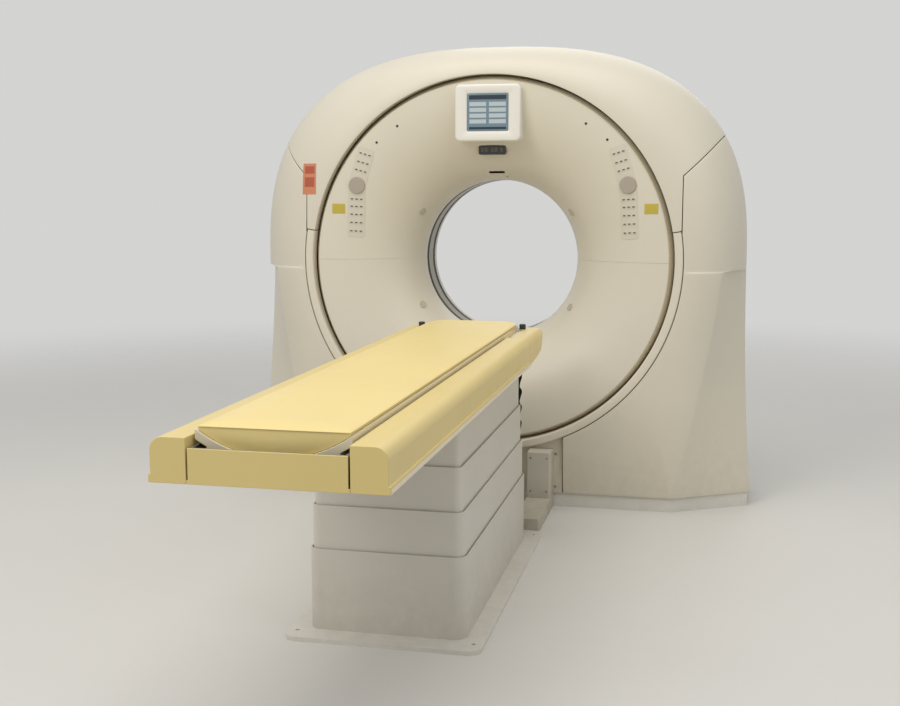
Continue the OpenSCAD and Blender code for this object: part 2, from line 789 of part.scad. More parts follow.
// Weights that bring the rotor's balance point onto its axis: two at its side, two at its foot
module balance_weights() {
  color("dimgray") for (w = [[-24, side_weight], [-34, side_weight], [-98, low_weight], [-82, low_weight]])
    rotate_about_bore(w[0]) translate([weight_in, rotor_y - w[1], iso_h - weight_w / 2])
      cube([weight_l, w[1], weight_w]);
}
module inner_race() {
  color("silver") ring(hub_r + race_seat, race_r - run_c / 2, race_y, race_l);
}
module slip_ring() {
  color("peru") difference() {
    ring(slip_in, slip_out, slip_y, slip_t);
    for (r = [slip_in + slip_pitch:slip_pitch:slip_out - slip_pitch])
      ring(r, r + track_w, slip_y + slip_t - 4, 5);
  }
}
module xray_tube() {
  color("gray") {
    bar_y(tube_d, rotor_y - tube_l, tube_l, 0, tube_z);
    bar_y(tube_d - 50, rotor_y - tube_l - 40, 41, 0, tube_z);
    for (x = [-1, 1]) bar_y(50, rotor_y - tube_l - 30, 31, x * 84, tube_z + 20);
  }
}
module collimator() {
  color("silver") difference() {
    translate([0, rotor_y, iso_h]) rotate([90, 0, 0]) linear_extrude(150)
      polygon([[-60, tube_z - tube_d / 2 + 12], [60, tube_z - tube_d / 2 + 12], [105, 392], [-105, 392]]);
    bar_y(tube_d + 2 * seat, -200, 400, 0, tube_z);
    translate([0, 4, iso_h]) rotate([90, 0, 0]) linear_extrude(8)
      polygon([[-16, tube_z], [16, tube_z], [90, 380], [-90, 380]]);
  }
}
// Detector arc, centred on the tube's focus
module detector() {
  color("darkslateblue") translate([0, rotor_y, iso_h + focus_z]) rotate([90, 0, 0]) {
    rotate([0, 0, 270 - fan_a]) rotate_extrude(angle = 2 * fan_a, $fn = 360)
      translate([detector_r, 0]) square([detector_t, 150]);
    for (a = [-fan_a - 1.6, fan_a + 0.1]) rotate([0, 0, 270 + a])
      rotate_extrude(angle = 1.5, $fn = 720) translate([detector_r - 10, 0]) square([detector_t + 20, 150]);
  }
}
module high_voltage_tanks() {
  color("gray") mirrored() difference() {
    translate([tank_x, rotor_y, iso_h]) rotate([90, 0, 0]) block(tank_w, tank_h, tank_l, 20);
    for (z = [-3:3]) translate([tank_x + tank_w / 2 - 2, rotor_y - tank_l - 1, iso_h + 2 * z * fin_pitch - 4])
      cube([10, tank_l + 2, 8]);
  }
}
module cooling_unit() {
  color("darkgray") rotate_about_bore(135) difference() {
    translate([cooler_x, rotor_y, iso_h]) rotate([90, 0, 0]) block(cooler_w, cooler_w, cooler_w, 8);
    for (x = [-4:4])
      translate([cooler_x + x * fin_pitch - 5, rotor_y - cooler_w - 1, iso_h - cooler_w / 2 + 10])
        cube([10, 60, cooler_w - 20]);
  }
}

// Floor plate of the table, with four anchor holes
module table_base() {
  l = column_l + bellows_l + 100;
  color("gainsboro") difference() {
    translate([0, -table_front - l / 2, 0]) block(base_plate_w, l, base_plate_t, 40);
    for (x = [-1, 1], y = [60, l - 60]) translate([x * (base_plate_w / 2 - 30), -table_front - y, -1])
      cylinder(d = table_anchor_d, h = base_plate_t + 2);
  }
}
// Stage k of the telescopic column: a rounded tube with glide strips and a spider for its
// screw tube. At rest each stage stands a third of the lowering travel above the one before.
module stage(k, h) {
  w = column_w - 2 * stage_step * k;
  l = column_l - 2 * stage_step * k;
  translate([0, -column_y, base_plate_t + nest_step * k + lift_down * k / stage_n]) {
    difference() {
      block(w, l, h, 40 - stage_step * k);
      translate([0, 0, -1]) block(w - 2 * stage_t, l - 2 * stage_t, h + 2, 36 - stage_step * k);
    }
    if (k > 0) {
      mirrored() for (y = [-1, 1]) translate([w / 2 - 1, y * l / 3 - 30, 0])
        cube([1 + stage_step - stage_t - seat, 60, 40]);
      difference() {
        union() {
          translate([-w / 2 + 1, -30, 0]) cube([w - 2, 60, 6]);
          cylinder(d = screw_d + 16 * k, h = h - 12);
        }
        translate([0, 0, -1]) cylinder(d = screw_d + 16 * k - 12, h = h + 2);
      }
    }
  }
}
module column_lower() {
  color("silver") stage(0, stage_h);
}
module column_middle() {
  color("silver") stage(1, stage_h - 4);
}
module column_inner() {
  color("silver") stage(2, stage_h - 8);
}
module column_upper() {
  color("silver") stage(3, table_under - base_plate_t - 3 * nest_step - lift_down);
}
// Lifting motor with its worm box, and the fixed screw at the column's centre
module lift_drive() {
  color("dimgray") translate([0, -column_y, base_plate_t]) {
    cylinder(d = screw_d, h = stage_h - 12);
    cylinder(d = 120, h = 6);
    translate([0, 330, 0]) block(180, 140, 110, 10);
    translate([0, 330, 70]) rotate([0, 90, 0]) translate([0, 0, -150]) cylinder(d = 90, h = 150);
    translate([-20, 50, 0]) cube([40, 220, 5]);
  }
}
// Black bellows that close the front of the column between the base and the table
module front_bellows() {
  h = table_under - base_plate_t - 2 * seat;
  color("black") translate([-bellows_w / 2, bellows_l + seat - bellows_y, base_plate_t + seat])
    rotate([90, 0, 90]) linear_extrude(bellows_w) polygon(concat(
      [for (i = [0:fold_n]) [-bellows_l + (i % 2) * (bellows_l - 12), h * i / fold_n]],
      [for (i = [fold_n:-1:0]) [-bellows_l + 8 + (i % 2) * (bellows_l - 12), h * i / fold_n]]));
}

// Tray of the table: a floor with side walls, guides for the cradle and a saddle at the front
module table_frame() {
  y0 = -table_end;
  l = table_l - nose_l;
  floor_w = cradle_w + rail_gap - seat;
  color("silver") difference() {
    union() {
      translate([-floor_w, y0, table_under]) cube([2 * floor_w, l - seat, tray_t]);
      for (x = [-frame_w, frame_w - tray_t]) translate([x, y0, table_under])
        cube([tray_t, l - seat, rail_d - 24]);
      translate([-frame_w, y0, table_under]) cube([2 * frame_w, tray_t, rail_d - 24]);
      for (x = [-guide_x, guide_x]) translate([x - guide_w / 2, y0, table_under])
        cube([guide_w, l - seat, tray_t + guide_h]);
      translate([-150, -tip_y - nose_l - 70, table_under]) cube([300, 60, rail_d - 20]);
    }
    bar_y(2 * (cradle_r + seat), y0 + tray_t, table_l, 0, cradle_off);
  }
}
// Side rails, closed hollow sections with a rim along the lower edge and a closed rear end
module side_rails() {
  l = table_l - nose_l;
  color("khaki") mirrored() translate([0, -table_end, rail_h]) {
    rotate([90, 0, 0]) translate([0, 0, -l + seat]) linear_extrude(l - seat) difference() {
      rail_outline(0);
      rail_outline(table_t);
    }
    rotate([90, 0, 0]) translate([0, 0, -table_t]) linear_extrude(table_t) rail_outline(0);
  }
}
module rail_outline(t) {
  x0 = cradle_w + rail_gap + t;
  x1 = table_w - t;
  translate([x0, t - rail_d]) square([x1 - x0, rail_d - t - rail_round]);
  translate([x0, t - rail_d]) square([x1 - x0 - rail_round + t, rail_d - 2 * t]);
  translate([table_w - rail_round, -rail_round]) circle(r = rail_round - t);
  translate([x0, t - rail_d]) square([x1 + rim_w - x0, rim_h - 2 * t]);
}
// Moulded nose of the table: its underside runs back from the tip, and the cradle lies in it
module table_nose() {
  color("khaki") intersection() {
    translate([0, 1 - tip_y, rail_h]) rotate([90, 0, 0]) linear_extrude(nose_l + 2) nose_section();
    difference() {
      translate([-table_w, 0, rail_h]) rotate([90, 0, 90]) linear_extrude(2 * table_w) polygon([
        [-tip_y - nose_l + seat, -rail_d], [-tip_y - nose_l + seat, 0], [-tip_y - 10, 0], [-tip_y, -10],
        [-tip_y - 6, -24], [-tip_y - 70, -84], [-tip_y - 200, -98]]);
      bar_y(2 * (cradle_r + rail_gap), -table_end, table_l + 10, 0, cradle_off);
      translate([-cradle_w - rail_gap, -table_end, rail_h - 40])
        cube([2 * (cradle_w + rail_gap), table_l + 10, 60]);
    }
    translate([0, -tip_y - nose_l, rail_h - rail_d - 1])
      block(2 * table_w, 2 * nose_l, rail_d + 2, 40);
  }
}
module nose_section() {
  translate([-table_w, -rail_d - 1]) square([2 * table_w, rail_d + 1 - rail_round]);
  translate([rail_round - table_w, -rail_d - 1]) square([2 * (table_w - rail_round), rail_d + 1]);
  for (x = [-1, 1]) translate([x * (table_w - rail_round), -rail_round]) circle(r = rail_round);
}
// Plan of the cradle and mattress, with a rounded tip
module table_plan(w, front, back) {
  translate([-w, -back, 0]) square([2 * w, back - front - 2 * tip_round]);
  translate([0, -front - tip_round - 10]) rounded(2 * w, 2 * tip_round + 20, tip_round);
}
// Carbon cradle: a shell of crescent section with a foot that slides on the table's guides
module cradle() {
  y0 = tip_y + 4;
  y1 = table_end - 40;
  color("beige") {
    intersection() {
      translate([0, 1 - y0, cradle_z]) rotate([90, 0, 0]) linear_extrude(y1 - y0 + 2) intersection() {
        difference() {
          circle(r = cradle_r);
          circle(r = cradle_r - cradle_t);
        }
        translate([-cradle_w - 1, -cradle_r - 1]) square([2 * cradle_w + 2, cradle_r]);
      }
      translate([0, 0, table_under]) linear_extrude(rail_d + 60) table_plan(cradle_w, y0, y1);
    }
    difference() {
      translate([-guide_x - 20, -y1, table_under + tray_t + guide_h + seat])
        cube([2 * guide_x + 40, 150, 60]);
      bar_y(2 * (cradle_r - 5), -y1 - 1, 152, 0, cradle_off);
    }
  }
}
// Mattress that fills the cradle to a flat top
module mattress() {
  y0 = tip_y + 12;
  y1 = table_end - 46;
  color("khaki") intersection() {
    translate([0, 1 - y0, cradle_z]) rotate([90, 0, 0]) linear_extrude(y1 - y0 + 2) intersection() {
      circle(r = cradle_r - cradle_t - seat);
      translate([-pad_w - 1, -cradle_r]) square([2 * pad_w + 2, cradle_r - pad_top]);
    }
    translate([0, 0, table_under]) linear_extrude(rail_d + 60) table_plan(pad_w, y0, y1);
  }
}

base_frame();
left_upright();
right_upright();
trunnion_bearings();
tilt_drive();
levelling_feet();
top_front_cover();
top_rear_cover();
left_front_cover();
right_front_cover();
left_rear_cover();
right_rear_cover();
front_apron();
rear_apron();
trim_bands();
cover_brackets();
plinth();
cable_duct();
tilt_frame();
drum_shell();
front_disc_upper();
front_disc_lower();
rear_disc_upper();
rear_disc_lower();
scan_window();
bore_seals();
position_lights();
display_housing();
display_screen();
status_display();
left_keypad();
right_keypad();
left_jog_button();
right_jog_button();
outer_race();
drive_motor();
motor_pulley();
drive_belt();
brush_block();
rotor();
balance_weights();
inner_race();
slip_ring();
xray_tube();
collimator();
detector();
high_voltage_tanks();
cooling_unit();
table_base();
column_lower();
column_middle();
column_inner();
column_upper();
lift_drive();
front_bellows();
table_frame();
side_rails();
table_nose();
cradle();
mattress();
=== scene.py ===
# Computed tomography scanner: a drum that tilts inside a moulded shell, and its patient table.
# The file follows the machine from its outer shell inwards, then the table, and last the studio.
import math
import bmesh
import bpy
import numpy as np
from mathutils import Matrix, Vector


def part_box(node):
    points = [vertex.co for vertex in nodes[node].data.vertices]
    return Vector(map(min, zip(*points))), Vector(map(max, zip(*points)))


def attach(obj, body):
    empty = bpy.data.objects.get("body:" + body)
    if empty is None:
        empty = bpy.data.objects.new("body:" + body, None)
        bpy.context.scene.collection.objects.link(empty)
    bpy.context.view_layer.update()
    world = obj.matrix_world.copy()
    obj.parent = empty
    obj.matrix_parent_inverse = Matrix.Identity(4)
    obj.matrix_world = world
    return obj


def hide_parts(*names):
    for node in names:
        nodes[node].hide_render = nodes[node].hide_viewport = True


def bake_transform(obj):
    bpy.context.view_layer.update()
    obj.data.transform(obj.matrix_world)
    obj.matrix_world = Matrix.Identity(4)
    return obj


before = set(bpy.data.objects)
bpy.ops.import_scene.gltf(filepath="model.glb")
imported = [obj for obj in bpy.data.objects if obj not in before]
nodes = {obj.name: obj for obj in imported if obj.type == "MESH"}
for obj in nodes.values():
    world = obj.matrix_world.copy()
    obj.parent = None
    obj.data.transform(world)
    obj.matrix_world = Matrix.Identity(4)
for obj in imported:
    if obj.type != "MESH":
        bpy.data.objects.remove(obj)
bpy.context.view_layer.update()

# Moulded shell: four side covers and two top covers of painted foam-moulded polyurethane.
# Each is one shell 5 mm thick that sweeps from the round opening to the machine's outline,
# and the covers meet at 4 mm seams with rounded edges.
ISO = 1.07
SHELL_WIDE, SHELL_HIGH, FOOT_WIDE = 1.087, 0.930, 1.130
SHELL_FRONT, SHELL_SIDE, OPENING = 0.415, 0.100, 0.790
SHELL_WALL, SHELL_EDGE, CROWN_POWER = 0.005, 0.0022, 2.65
TRIM_WIDE, TRIM_GAP, SEAM, LIP_BACK = 0.035, 0.003, 0.004, 0.362
SIDE_START = OPENING + TRIM_WIDE + TRIM_GAP
LEDGE, LEDGE_DROP, SKIRT_FOOT = 0.040, 0.006, 0.0624
SKIRT, SCOOP_FRONT = ISO - SKIRT_FOOT, 0.002 - SHELL_FRONT
CREASE_X, CREASE_FOOT, CREASE_Y = 0.985, 0.800, 0.345
APRON_WIDE, APRON_Y, FOOT_Y = 0.330, 0.392, 0.190
SEAM_X, SEAM_CORNER, SEAM_OUT, SEAM_FOOT = 0.817, 23.9, 28, 9.3
# Half the seam's width as an angle in degrees, where it turns and at its foot
CORNER_HALF, FOOT_HALF = 0.13, 0.14
ENDS = (("front", 1), ("rear", -1))
COVER_CREAM = (218, 211, 192)


def srgb(colour):
    """Linear colour from a written one of 0 to 255."""
    return tuple(((c / 255 + 0.055) / 1.055) ** 2.4 if c > 10 else c / 255 / 12.92 for c in colour) + (1,)


def lerp(a, b, s):
    return a + (b - a) * s


def outline(degrees):
    """Distance from the isocentre to the shell's crown, a squared ellipse."""
    a = math.radians(degrees)
    wide, high = abs(math.cos(a)) / SHELL_WIDE, abs(math.sin(a)) / SHELL_HIGH
    return (wide ** CROWN_POWER + high ** CROWN_POWER) ** (-1 / CROWN_POWER)


def shell_point(j, reach, start):
    """Radius and depth of the shell at step j of 0 to 11, from the opening's lip to the side."""
    first = math.asin((start - OPENING) / (reach - OPENING))
    turn = lerp(first, math.pi / 2, min(1, max(0, j - 1) / 9))
    depth = lerp(-SHELL_FRONT, -SHELL_SIDE, 1 - math.cos(turn))
    if j < 1:
        return start, lerp(-LIP_BACK, depth, j)
    if j <= 10:
        return OPENING + (reach - OPENING) * math.sin(turn), depth
    return reach, lerp(-SHELL_SIDE, -SEAM / 2, j - 10)


def seam_at(radius, gap, foot):
    """Angle of a cover's edge at the seam: it rises plumb beside the opening, then turns out to the side."""
    corner = SEAM_X / math.cos(math.radians(SEAM_CORNER))
    slanted = lerp(SEAM_CORNER, SEAM_OUT, (radius - corner) / (SHELL_WIDE - corner))
    aside = math.degrees(math.asin(gap / radius))
    plumb = math.degrees(math.acos(min(1, (SEAM_X - gap) / radius)))
    return min(slanted + aside, max(foot + aside, plumb))


def edge_angle(j, start, gap, foot=0):
    """The seam's angle at step j, found from the radius that the shell has there."""
    a = SEAM_CORNER
    for _ in range(40):
        a = seam_at(shell_point(j, outline(a), start)[0], gap, foot)
    return a


def step_at(radius, degrees, start):
    """Step j at which the shell has a radius."""
    reach = outline(degrees) - OPENING
    first = math.asin((start - OPENING) / reach)
    return 1 + 9 * (math.asin((radius - OPENING) / reach) - first) / (math.pi / 2 - first)


def top_cover_rows():
    """Rows from the left seam over the crown to the right one, each from the lip to the side."""
    corners = [step_at((SEAM_X - SEAM / 2) / math.cos(math.radians(a)), a, OPENING)
               for a in (SEAM_FOOT + FOOT_HALF, SEAM_CORNER + CORNER_HALF)]
    steps = np.sort(np.concatenate([[0, 1], np.linspace(1, 10, 46)[1:], corners, [10.5, 11]]))
    lows = [edge_angle(j, OPENING, SEAM / 2, SEAM_FOOT) for j in steps]
    rows = []
    for share in np.linspace(0, 1, 225):
        row = []
        for j, low in zip(steps, lows):
            a = lerp(180 - low, low, share)
            r, y = shell_point(j, outline(a), OPENING)
            row.append((r * math.cos(math.radians(a)), y, ISO + r * math.sin(math.radians(a))))
        rows.append(row)
    return rows


def side_cover_rows():
    """Rows from the seam to the ledge, then scooped down to the foot; the last ones only reach the crease."""
    below = SEAM_CORNER - CORNER_HALF
    corner = step_at((SEAM_X + SEAM / 2) / math.cos(math.radians(below)), below, SIDE_START)
    steps = np.sort(np.concatenate([[0, 1], np.linspace(1, 6, 26)[1:], np.linspace(6, 10, 21)[1:],
                                    [corner, 11]]))
    highs = [edge_angle(j, SIDE_START, -SEAM / 2) for j in steps]
    rows = []
    for share in np.linspace(0, 1, 26):
        row = []
        for j, high in zip(steps, highs):
            radius = shell_point(j, SHELL_WIDE, SIDE_START)[0]
            low = -math.degrees(math.asin((LEDGE - LEDGE_DROP) / radius))
            a = lerp(high, low, share)
            r, y = shell_point(j, outline(max(a, 0)), SIDE_START)
            row.append((r * math.cos(math.radians(a)), y, ISO + r * math.sin(math.radians(a))))
        rows.append(row)
    top = -math.asin(LEDGE / SIDE_START)
    end = -math.acos((APRON_WIDE + SEAM) / SIDE_START)
    for i in np.linspace(0, 11, 67):
        s, f = min(1, i / 6), max(0, (i - 6) / 5)
        a = lerp(top, end, i / 11)
        start = (SIDE_START * math.cos(a), SIDE_START * math.sin(a))
        z = -lerp(LEDGE, SKIRT, s)
        front = lerp(CREASE_FOOT, APRON_WIDE + SEAM, f) if f else lerp(CREASE_X, CREASE_FOOT, s ** 1.3)
        front_y = -lerp(CREASE_Y, APRON_Y, max(s * s, f))
        back, back_y = lerp(SHELL_WIDE, FOOT_WIDE, s * s), -lerp(SHELL_SIDE, FOOT_Y, s)
        row = []
        for j in steps:
            if f and j > 6:
                break
            if j <= 1:
                row.append((start[0], lerp(-LIP_BACK, SCOOP_FRONT, j), ISO + start[1]))
            elif j <= 6:
                u = (j - 1) / 5
                row.append((lerp(start[0], front, u), lerp(SCOOP_FRONT, front_y, u * u),
                            ISO + lerp(start[1], z, u)))
            elif j <= 10:
                v = (j - 6) / 4
                row.append((lerp(front, back, v), lerp(front_y, back_y, v), ISO + z))
            else:
                row.append((back, -SEAM / 2, ISO + z))
        rows.append(row)
    return rows


def add_piece(name, mesh):
    piece = bpy.data.objects.new(name, mesh)
    bpy.context.scene.collection.objects.link(piece)
    return piece


def piece_from(bm, name):
    """A piece with the mesh that was being made."""
    mesh = bpy.data.meshes.new(name)
    bm.to_mesh(mesh)
    bm.free()
    return add_piece(name, mesh)


MERGE_UNDER = 1e-6


def mesh_from_rows(name, rows, outward, flip=(1, 1, 1)):
    """A sheet through rows of points; a short row joins the start of a long one."""
    bm = bmesh.new()
    made = [[bm.verts.new(Vector(p) * Vector(flip)) for p in row] for row in rows]
    for upper, lower in zip(made, made[1:]):
        for j in range(min(len(upper), len(lower)) - 1):
            bm.faces.new((upper[j], upper[j + 1], lower[j + 1], lower[j]))
    bmesh.ops.remove_doubles(bm, verts=bm.verts, dist=MERGE_UNDER)
    bmesh.ops.recalc_face_normals(bm, faces=bm.faces)
    way = Vector(outward)
    farthest = max(bm.faces, key=lambda face: face.calc_center_median().dot(way))
    if farthest.normal.dot(way) < 0:
        bmesh.ops.reverse_faces(bm, faces=bm.faces)
    return piece_from(bm, name)


def smooth(piece, under=35):
    """Shades a piece smooth, apart from edges that turn by more than an angle."""
    piece.data.polygons.foreach_set("use_smooth", [True] * len(piece.data.polygons))
    piece.data.set_sharp_from_angle(angle=math.radians(under))
    return piece


def bake_modifiers(piece, smooth_under=35):
    """The piece's modifiers become plain mesh; with no angle given, it keeps the shading that it has."""
    bpy.context.view_layer.update()
    mesh = bpy.data.meshes.new_from_object(piece.evaluated_get(bpy.context.evaluated_depsgraph_get()))
    mesh.name = piece.name
    piece.modifiers.clear()
    piece.data = mesh
    return smooth(piece, smooth_under) if smooth_under else piece


def wall(piece, thick, offset=-1):
    shell = piece.modifiers.new("wall", "SOLIDIFY")
    shell.thickness = thick
    shell.offset = offset
    shell.use_even_offset = True
    shell.use_quality_normals = True


def round_edges(piece, width, segments=3, over=30):
    edges = piece.modifiers.new("edges", "BEVEL")
    edges.width = width
    edges.segments = segments
    edges.limit_method = "ANGLE"
    edges.angle_limit = math.radians(over)
    edges.harden_normals = False
    edges.use_clamp_overlap = True


def new_group(name, inputs, outputs):
    """An empty shader group with named sockets, and its ends."""
    tree = bpy.data.node_groups.new(name, "ShaderNodeTree")
    for label, kind, value in inputs:
        socket = tree.interface.new_socket(label, in_out="INPUT", socket_type="NodeSocket" + kind)
        socket.default_value = value
    for label, kind in outputs:
        tree.interface.new_socket(label, in_out="OUTPUT", socket_type="NodeSocket" + kind)
    return tree, tree.nodes.new("NodeGroupInput"), tree.nodes.new("NodeGroupOutput")


def feed(tree, socket, value):
    """Joins another node's output to a socket, or sets the socket's own value."""
    if isinstance(value, bpy.types.NodeSocket):
        tree.links.new(value, socket)
    else:
        socket.default_value = value


def math_node(tree, operation, a, b, clamp=False):
    node = tree.nodes.new("ShaderNodeMath")
    node.operation = operation
    node.use_clamp = clamp
    feed(tree, node.inputs[0], a)
    feed(tree, node.inputs[1], b)
    return node.outputs[0]


def about_zero(tree, share):
    """A value of 0 to 1 moved to lie about zero."""
    return math_node(tree, "SUBTRACT", share, 0.5)


def noise(tree, place, scale, detail=3.0, roughness=0.5):
    node = tree.nodes.new("ShaderNodeTexNoise")
    node.inputs["Detail"].default_value = detail
    node.inputs["Roughness"].default_value = roughness
    tree.links.new(place, node.inputs["Vector"])
    feed(tree, node.inputs["Scale"], scale)
    return node.outputs["Fac"]


def mix_colour(tree, share, a, b, kind="MIX"):
    node = tree.nodes.new("ShaderNodeMix")
    node.data_type = "RGBA"
    node.blend_type = kind
    for socket, value in ((node.inputs[0], share), (node.inputs[6], a), (node.inputs[7], b)):
        feed(tree, socket, value)
    return node.outputs[2]


def brightened(tree, colour, factor):
    """A colour with all three of its parts times one factor."""
    grey = tree.nodes.new("ShaderNodeCombineColor")
    for socket in grey.inputs[:3]:
        tree.links.new(factor, socket)
    return mix_colour(tree, 1.0, colour, grey.outputs[0], "MULTIPLY")


DUST_BROWN = (120, 108, 88)


def moulded_grain():
    """Fine texture of painted or moulded plastic, a slow change of tone, and dust that settles low down."""
    tree, start, end = new_group(
        "moulded_grain",
        [("Colour", "Color", (0.8, 0.8, 0.8, 1)), ("Tone", "Float", 0.05), ("Grain", "Float", 700.0),
         ("Rough", "Float", 0.45), ("Dust", "Float", 0.15), ("Dust height", "Float", 0.35)],
        [("Colour", "Color"), ("Rough", "Float"), ("Height", "Float")])
    place = tree.nodes.new("ShaderNodeTexCoord").outputs["Object"]
    grain = noise(tree, place, start.outputs["Grain"], 2.0)
    slow = noise(tree, place, 2.3, 4.0, 0.6)
    patch = noise(tree, place, 23.0, 5.0, 0.65)
    parts = tree.nodes.new("ShaderNodeSeparateXYZ")
    tree.links.new(place, parts.inputs[0])
    fade = math_node(tree, "DIVIDE", parts.outputs["Z"], start.outputs["Dust height"])
    low = math_node(tree, "SUBTRACT", 1.0, fade, clamp=True)
    settled = math_node(tree, "MULTIPLY", low, patch)
    dust = math_node(tree, "MULTIPLY", settled, start.outputs["Dust"], clamp=True)
    tone = math_node(tree, "MULTIPLY", about_zero(tree, slow), start.outputs["Tone"])
    shift = math_node(tree, "ADD", 1.0, math_node(tree, "MULTIPLY", tone, 2.0))
    toned = brightened(tree, start.outputs["Colour"], shift)
    tree.links.new(mix_colour(tree, dust, toned, srgb(DUST_BROWN)), end.inputs["Colour"])
    rough = math_node(tree, "ADD", start.outputs["Rough"],
                      math_node(tree, "MULTIPLY", about_zero(tree, patch), 0.16))
    tree.links.new(math_node(tree, "ADD", rough, math_node(tree, "MULTIPLY", dust, 0.3), clamp=True),
                   end.inputs["Rough"])
    tree.links.new(grain, end.inputs["Height"])
    return tree


GRAIN, GRAIN_DEPTH = moulded_grain(), 0.0006


def grouped_material(name, group, values, bump, bump_depth, **shader_values):
    """A material whose colour, roughness and bump come from a group, with its own values."""
    material = bpy.data.materials.new(name)
    material.use_nodes = True
    tree = material.node_tree
    shader = tree.nodes["Principled BSDF"]
    surface = tree.nodes.new("ShaderNodeGroup")
    surface.node_tree = group
    for label, value in values.items():
        surface.inputs[label].default_value = value
    tree.links.new(surface.outputs["Colour"], shader.inputs["Base Color"])
    tree.links.new(surface.outputs["Rough"], shader.inputs["Roughness"])
    relief = tree.nodes.new("ShaderNodeBump")
    relief.inputs["Strength"].default_value = bump
    relief.inputs["Distance"].default_value = bump_depth
    tree.links.new(surface.outputs["Height"], relief.inputs["Height"])
    tree.links.new(relief.outputs["Normal"], shader.inputs["Normal"])
    for label, value in shader_values.items():
        shader.inputs[label.replace("_", " ").title()].default_value = value
    return material


def plastic(name, colour, rough=0.45, grain=700.0, tone=0.05, dust=0.0, dust_height=0.35, bump=0.12, **more):
    values = {"Colour": srgb(colour), "Tone": tone, "Grain": grain, "Rough": rough, "Dust": dust,
              "Dust height": dust_height}
    return grouped_material(name, GRAIN, values, bump, GRAIN_DEPTH, **more)


def dulled(material, level):
    """A material with weaker highlights."""
    material.node_tree.nodes["Principled BSDF"].inputs["Specular IOR Level"].default_value = level
    return material


def finish_nodes(material, *names):
    """Nodes of the frame that keep their shape get this finish."""
    for name in names:
        nodes[name].data.materials.clear()
        nodes[name].data.materials.append(material)


def dress(piece, material, body, *replaced):
    """Gives a piece its material, the body that it rides on, and the node that it stands for."""
    piece.data.materials.clear()
    piece.data.materials.append(material)
    if body:
        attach(piece, body)
    if replaced:
        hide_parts(*replaced)


cover_paint = plastic("cover_paint", COVER_CREAM, rough=0.42, tone=0.04, dust=0.3, dust_height=0.5)


def moulded_cover(node, rows, outward, flip):
    """A cover from its rows, with its wall and rounded edges, which then stands for its node."""
    cover = mesh_from_rows(f"{node}_skin", rows, outward, flip)
    wall(cover, SHELL_WALL)
    round_edges(cover, SHELL_EDGE)
    dress(bake_modifiers(cover), cover_paint, "floor_frame", node)


for side, x in (("right", 1), ("left", -1)):
    for end, y in ENDS:
        moulded_cover(f"{side}_{end}_cover", side_cover_rows(), (x, -y, 0), (x, y, 1))
for end, y in ENDS:
    moulded_cover(f"top_{end}_cover", top_cover_rows(), (0, -y, 1), (1, y, 1))

# Lower panels and plinth: flat pressed panels under the drum and an extruded strip at the floor.
# The panels are painted and held by rows of small cap screws.
panel_paint = plastic("panel_paint", (214, 206, 187), rough=0.45, dust=0.6, dust_height=0.4)
plinth_white = plastic("plinth_white", (222, 219, 209), rough=0.4, dust=0.3, dust_height=0.12)
finish_nodes(panel_paint, "front_apron", "rear_apron")
finish_nodes(plinth_white, "plinth")


def metal_group():
    """Brushed or machined metal: fine lines along one axis and a slow change of brightness."""
    tree, start, end = new_group(
        "worked_metal",
        [("Colour", "Color", (0.5, 0.5, 0.5, 1)), ("Rough", "Float", 0.35), ("Line scale", "Float", 900.0),
         ("Streak", "Float", 0.12)],
        [("Colour", "Color"), ("Rough", "Float"), ("Height", "Float")])
    place = tree.nodes.new("ShaderNodeTexCoord").outputs["Object"]
    stretch = tree.nodes.new("ShaderNodeMapping")
    stretch.inputs["Scale"].default_value = (1.0, 1.0, 0.02)
    tree.links.new(place, stretch.inputs["Vector"])
    lines = noise(tree, stretch.outputs[0], start.outputs["Line scale"], 2.0)
    slow = noise(tree, place, 9.0, 4.0, 0.6)
    both = math_node(tree, "ADD", about_zero(tree, lines), about_zero(tree, slow))
    shift = math_node(tree, "ADD", 1.0, math_node(tree, "MULTIPLY", both, start.outputs["Streak"]))
    tree.links.new(brightened(tree, start.outputs["Colour"], shift), end.inputs["Colour"])
    rough = math_node(tree, "ADD", start.outputs["Rough"],
                      math_node(tree, "MULTIPLY", about_zero(tree, slow), 0.2), clamp=True)
    tree.links.new(rough, end.inputs["Rough"])
    tree.links.new(lines, end.inputs["Height"])
    return tree


METAL, LINE_DEPTH = metal_group(), 0.0003


def metal(name, colour, rough=0.35, lines=900.0, streak=0.12, bump=0.08, metallic=1.0):
    values = {"Colour": srgb(colour), "Rough": rough, "Line scale": lines, "Streak": streak}
    return grouped_material(name, METAL, values, bump, LINE_DEPTH, metallic=metallic)


screw_steel = metal("screw_steel", (150, 150, 148), rough=0.3)


def tree_with_inputs(name, inputs):
    """A Geometry Nodes tree with named inputs, and a shortcut that adds and joins its nodes."""
    tree = bpy.data.node_groups.new(name, "GeometryNodeTree")
    tree.is_modifier = True
    tree.interface.new_socket("Geometry", in_out="INPUT", socket_type="NodeSocketGeometry")
    for label, kind, value in inputs:
        socket = tree.interface.new_socket(label, in_out="INPUT", socket_type="NodeSocket" + kind)
        if value is not None:
            socket.default_value = value
    tree.interface.new_socket("Geometry", in_out="OUTPUT", socket_type="NodeSocketGeometry")
    start, end = tree.nodes.new("NodeGroupInput"), tree.nodes.new("NodeGroupOutput")

    def add(kind, inputs=(), **settings):
        node = tree.nodes.new(kind)
        for key, value in settings.items():
            setattr(node, key, value)
        for label, value in dict(inputs).items():
            feed(tree, node.inputs[label], value)
        return node

    return tree, start.outputs, end.inputs, add


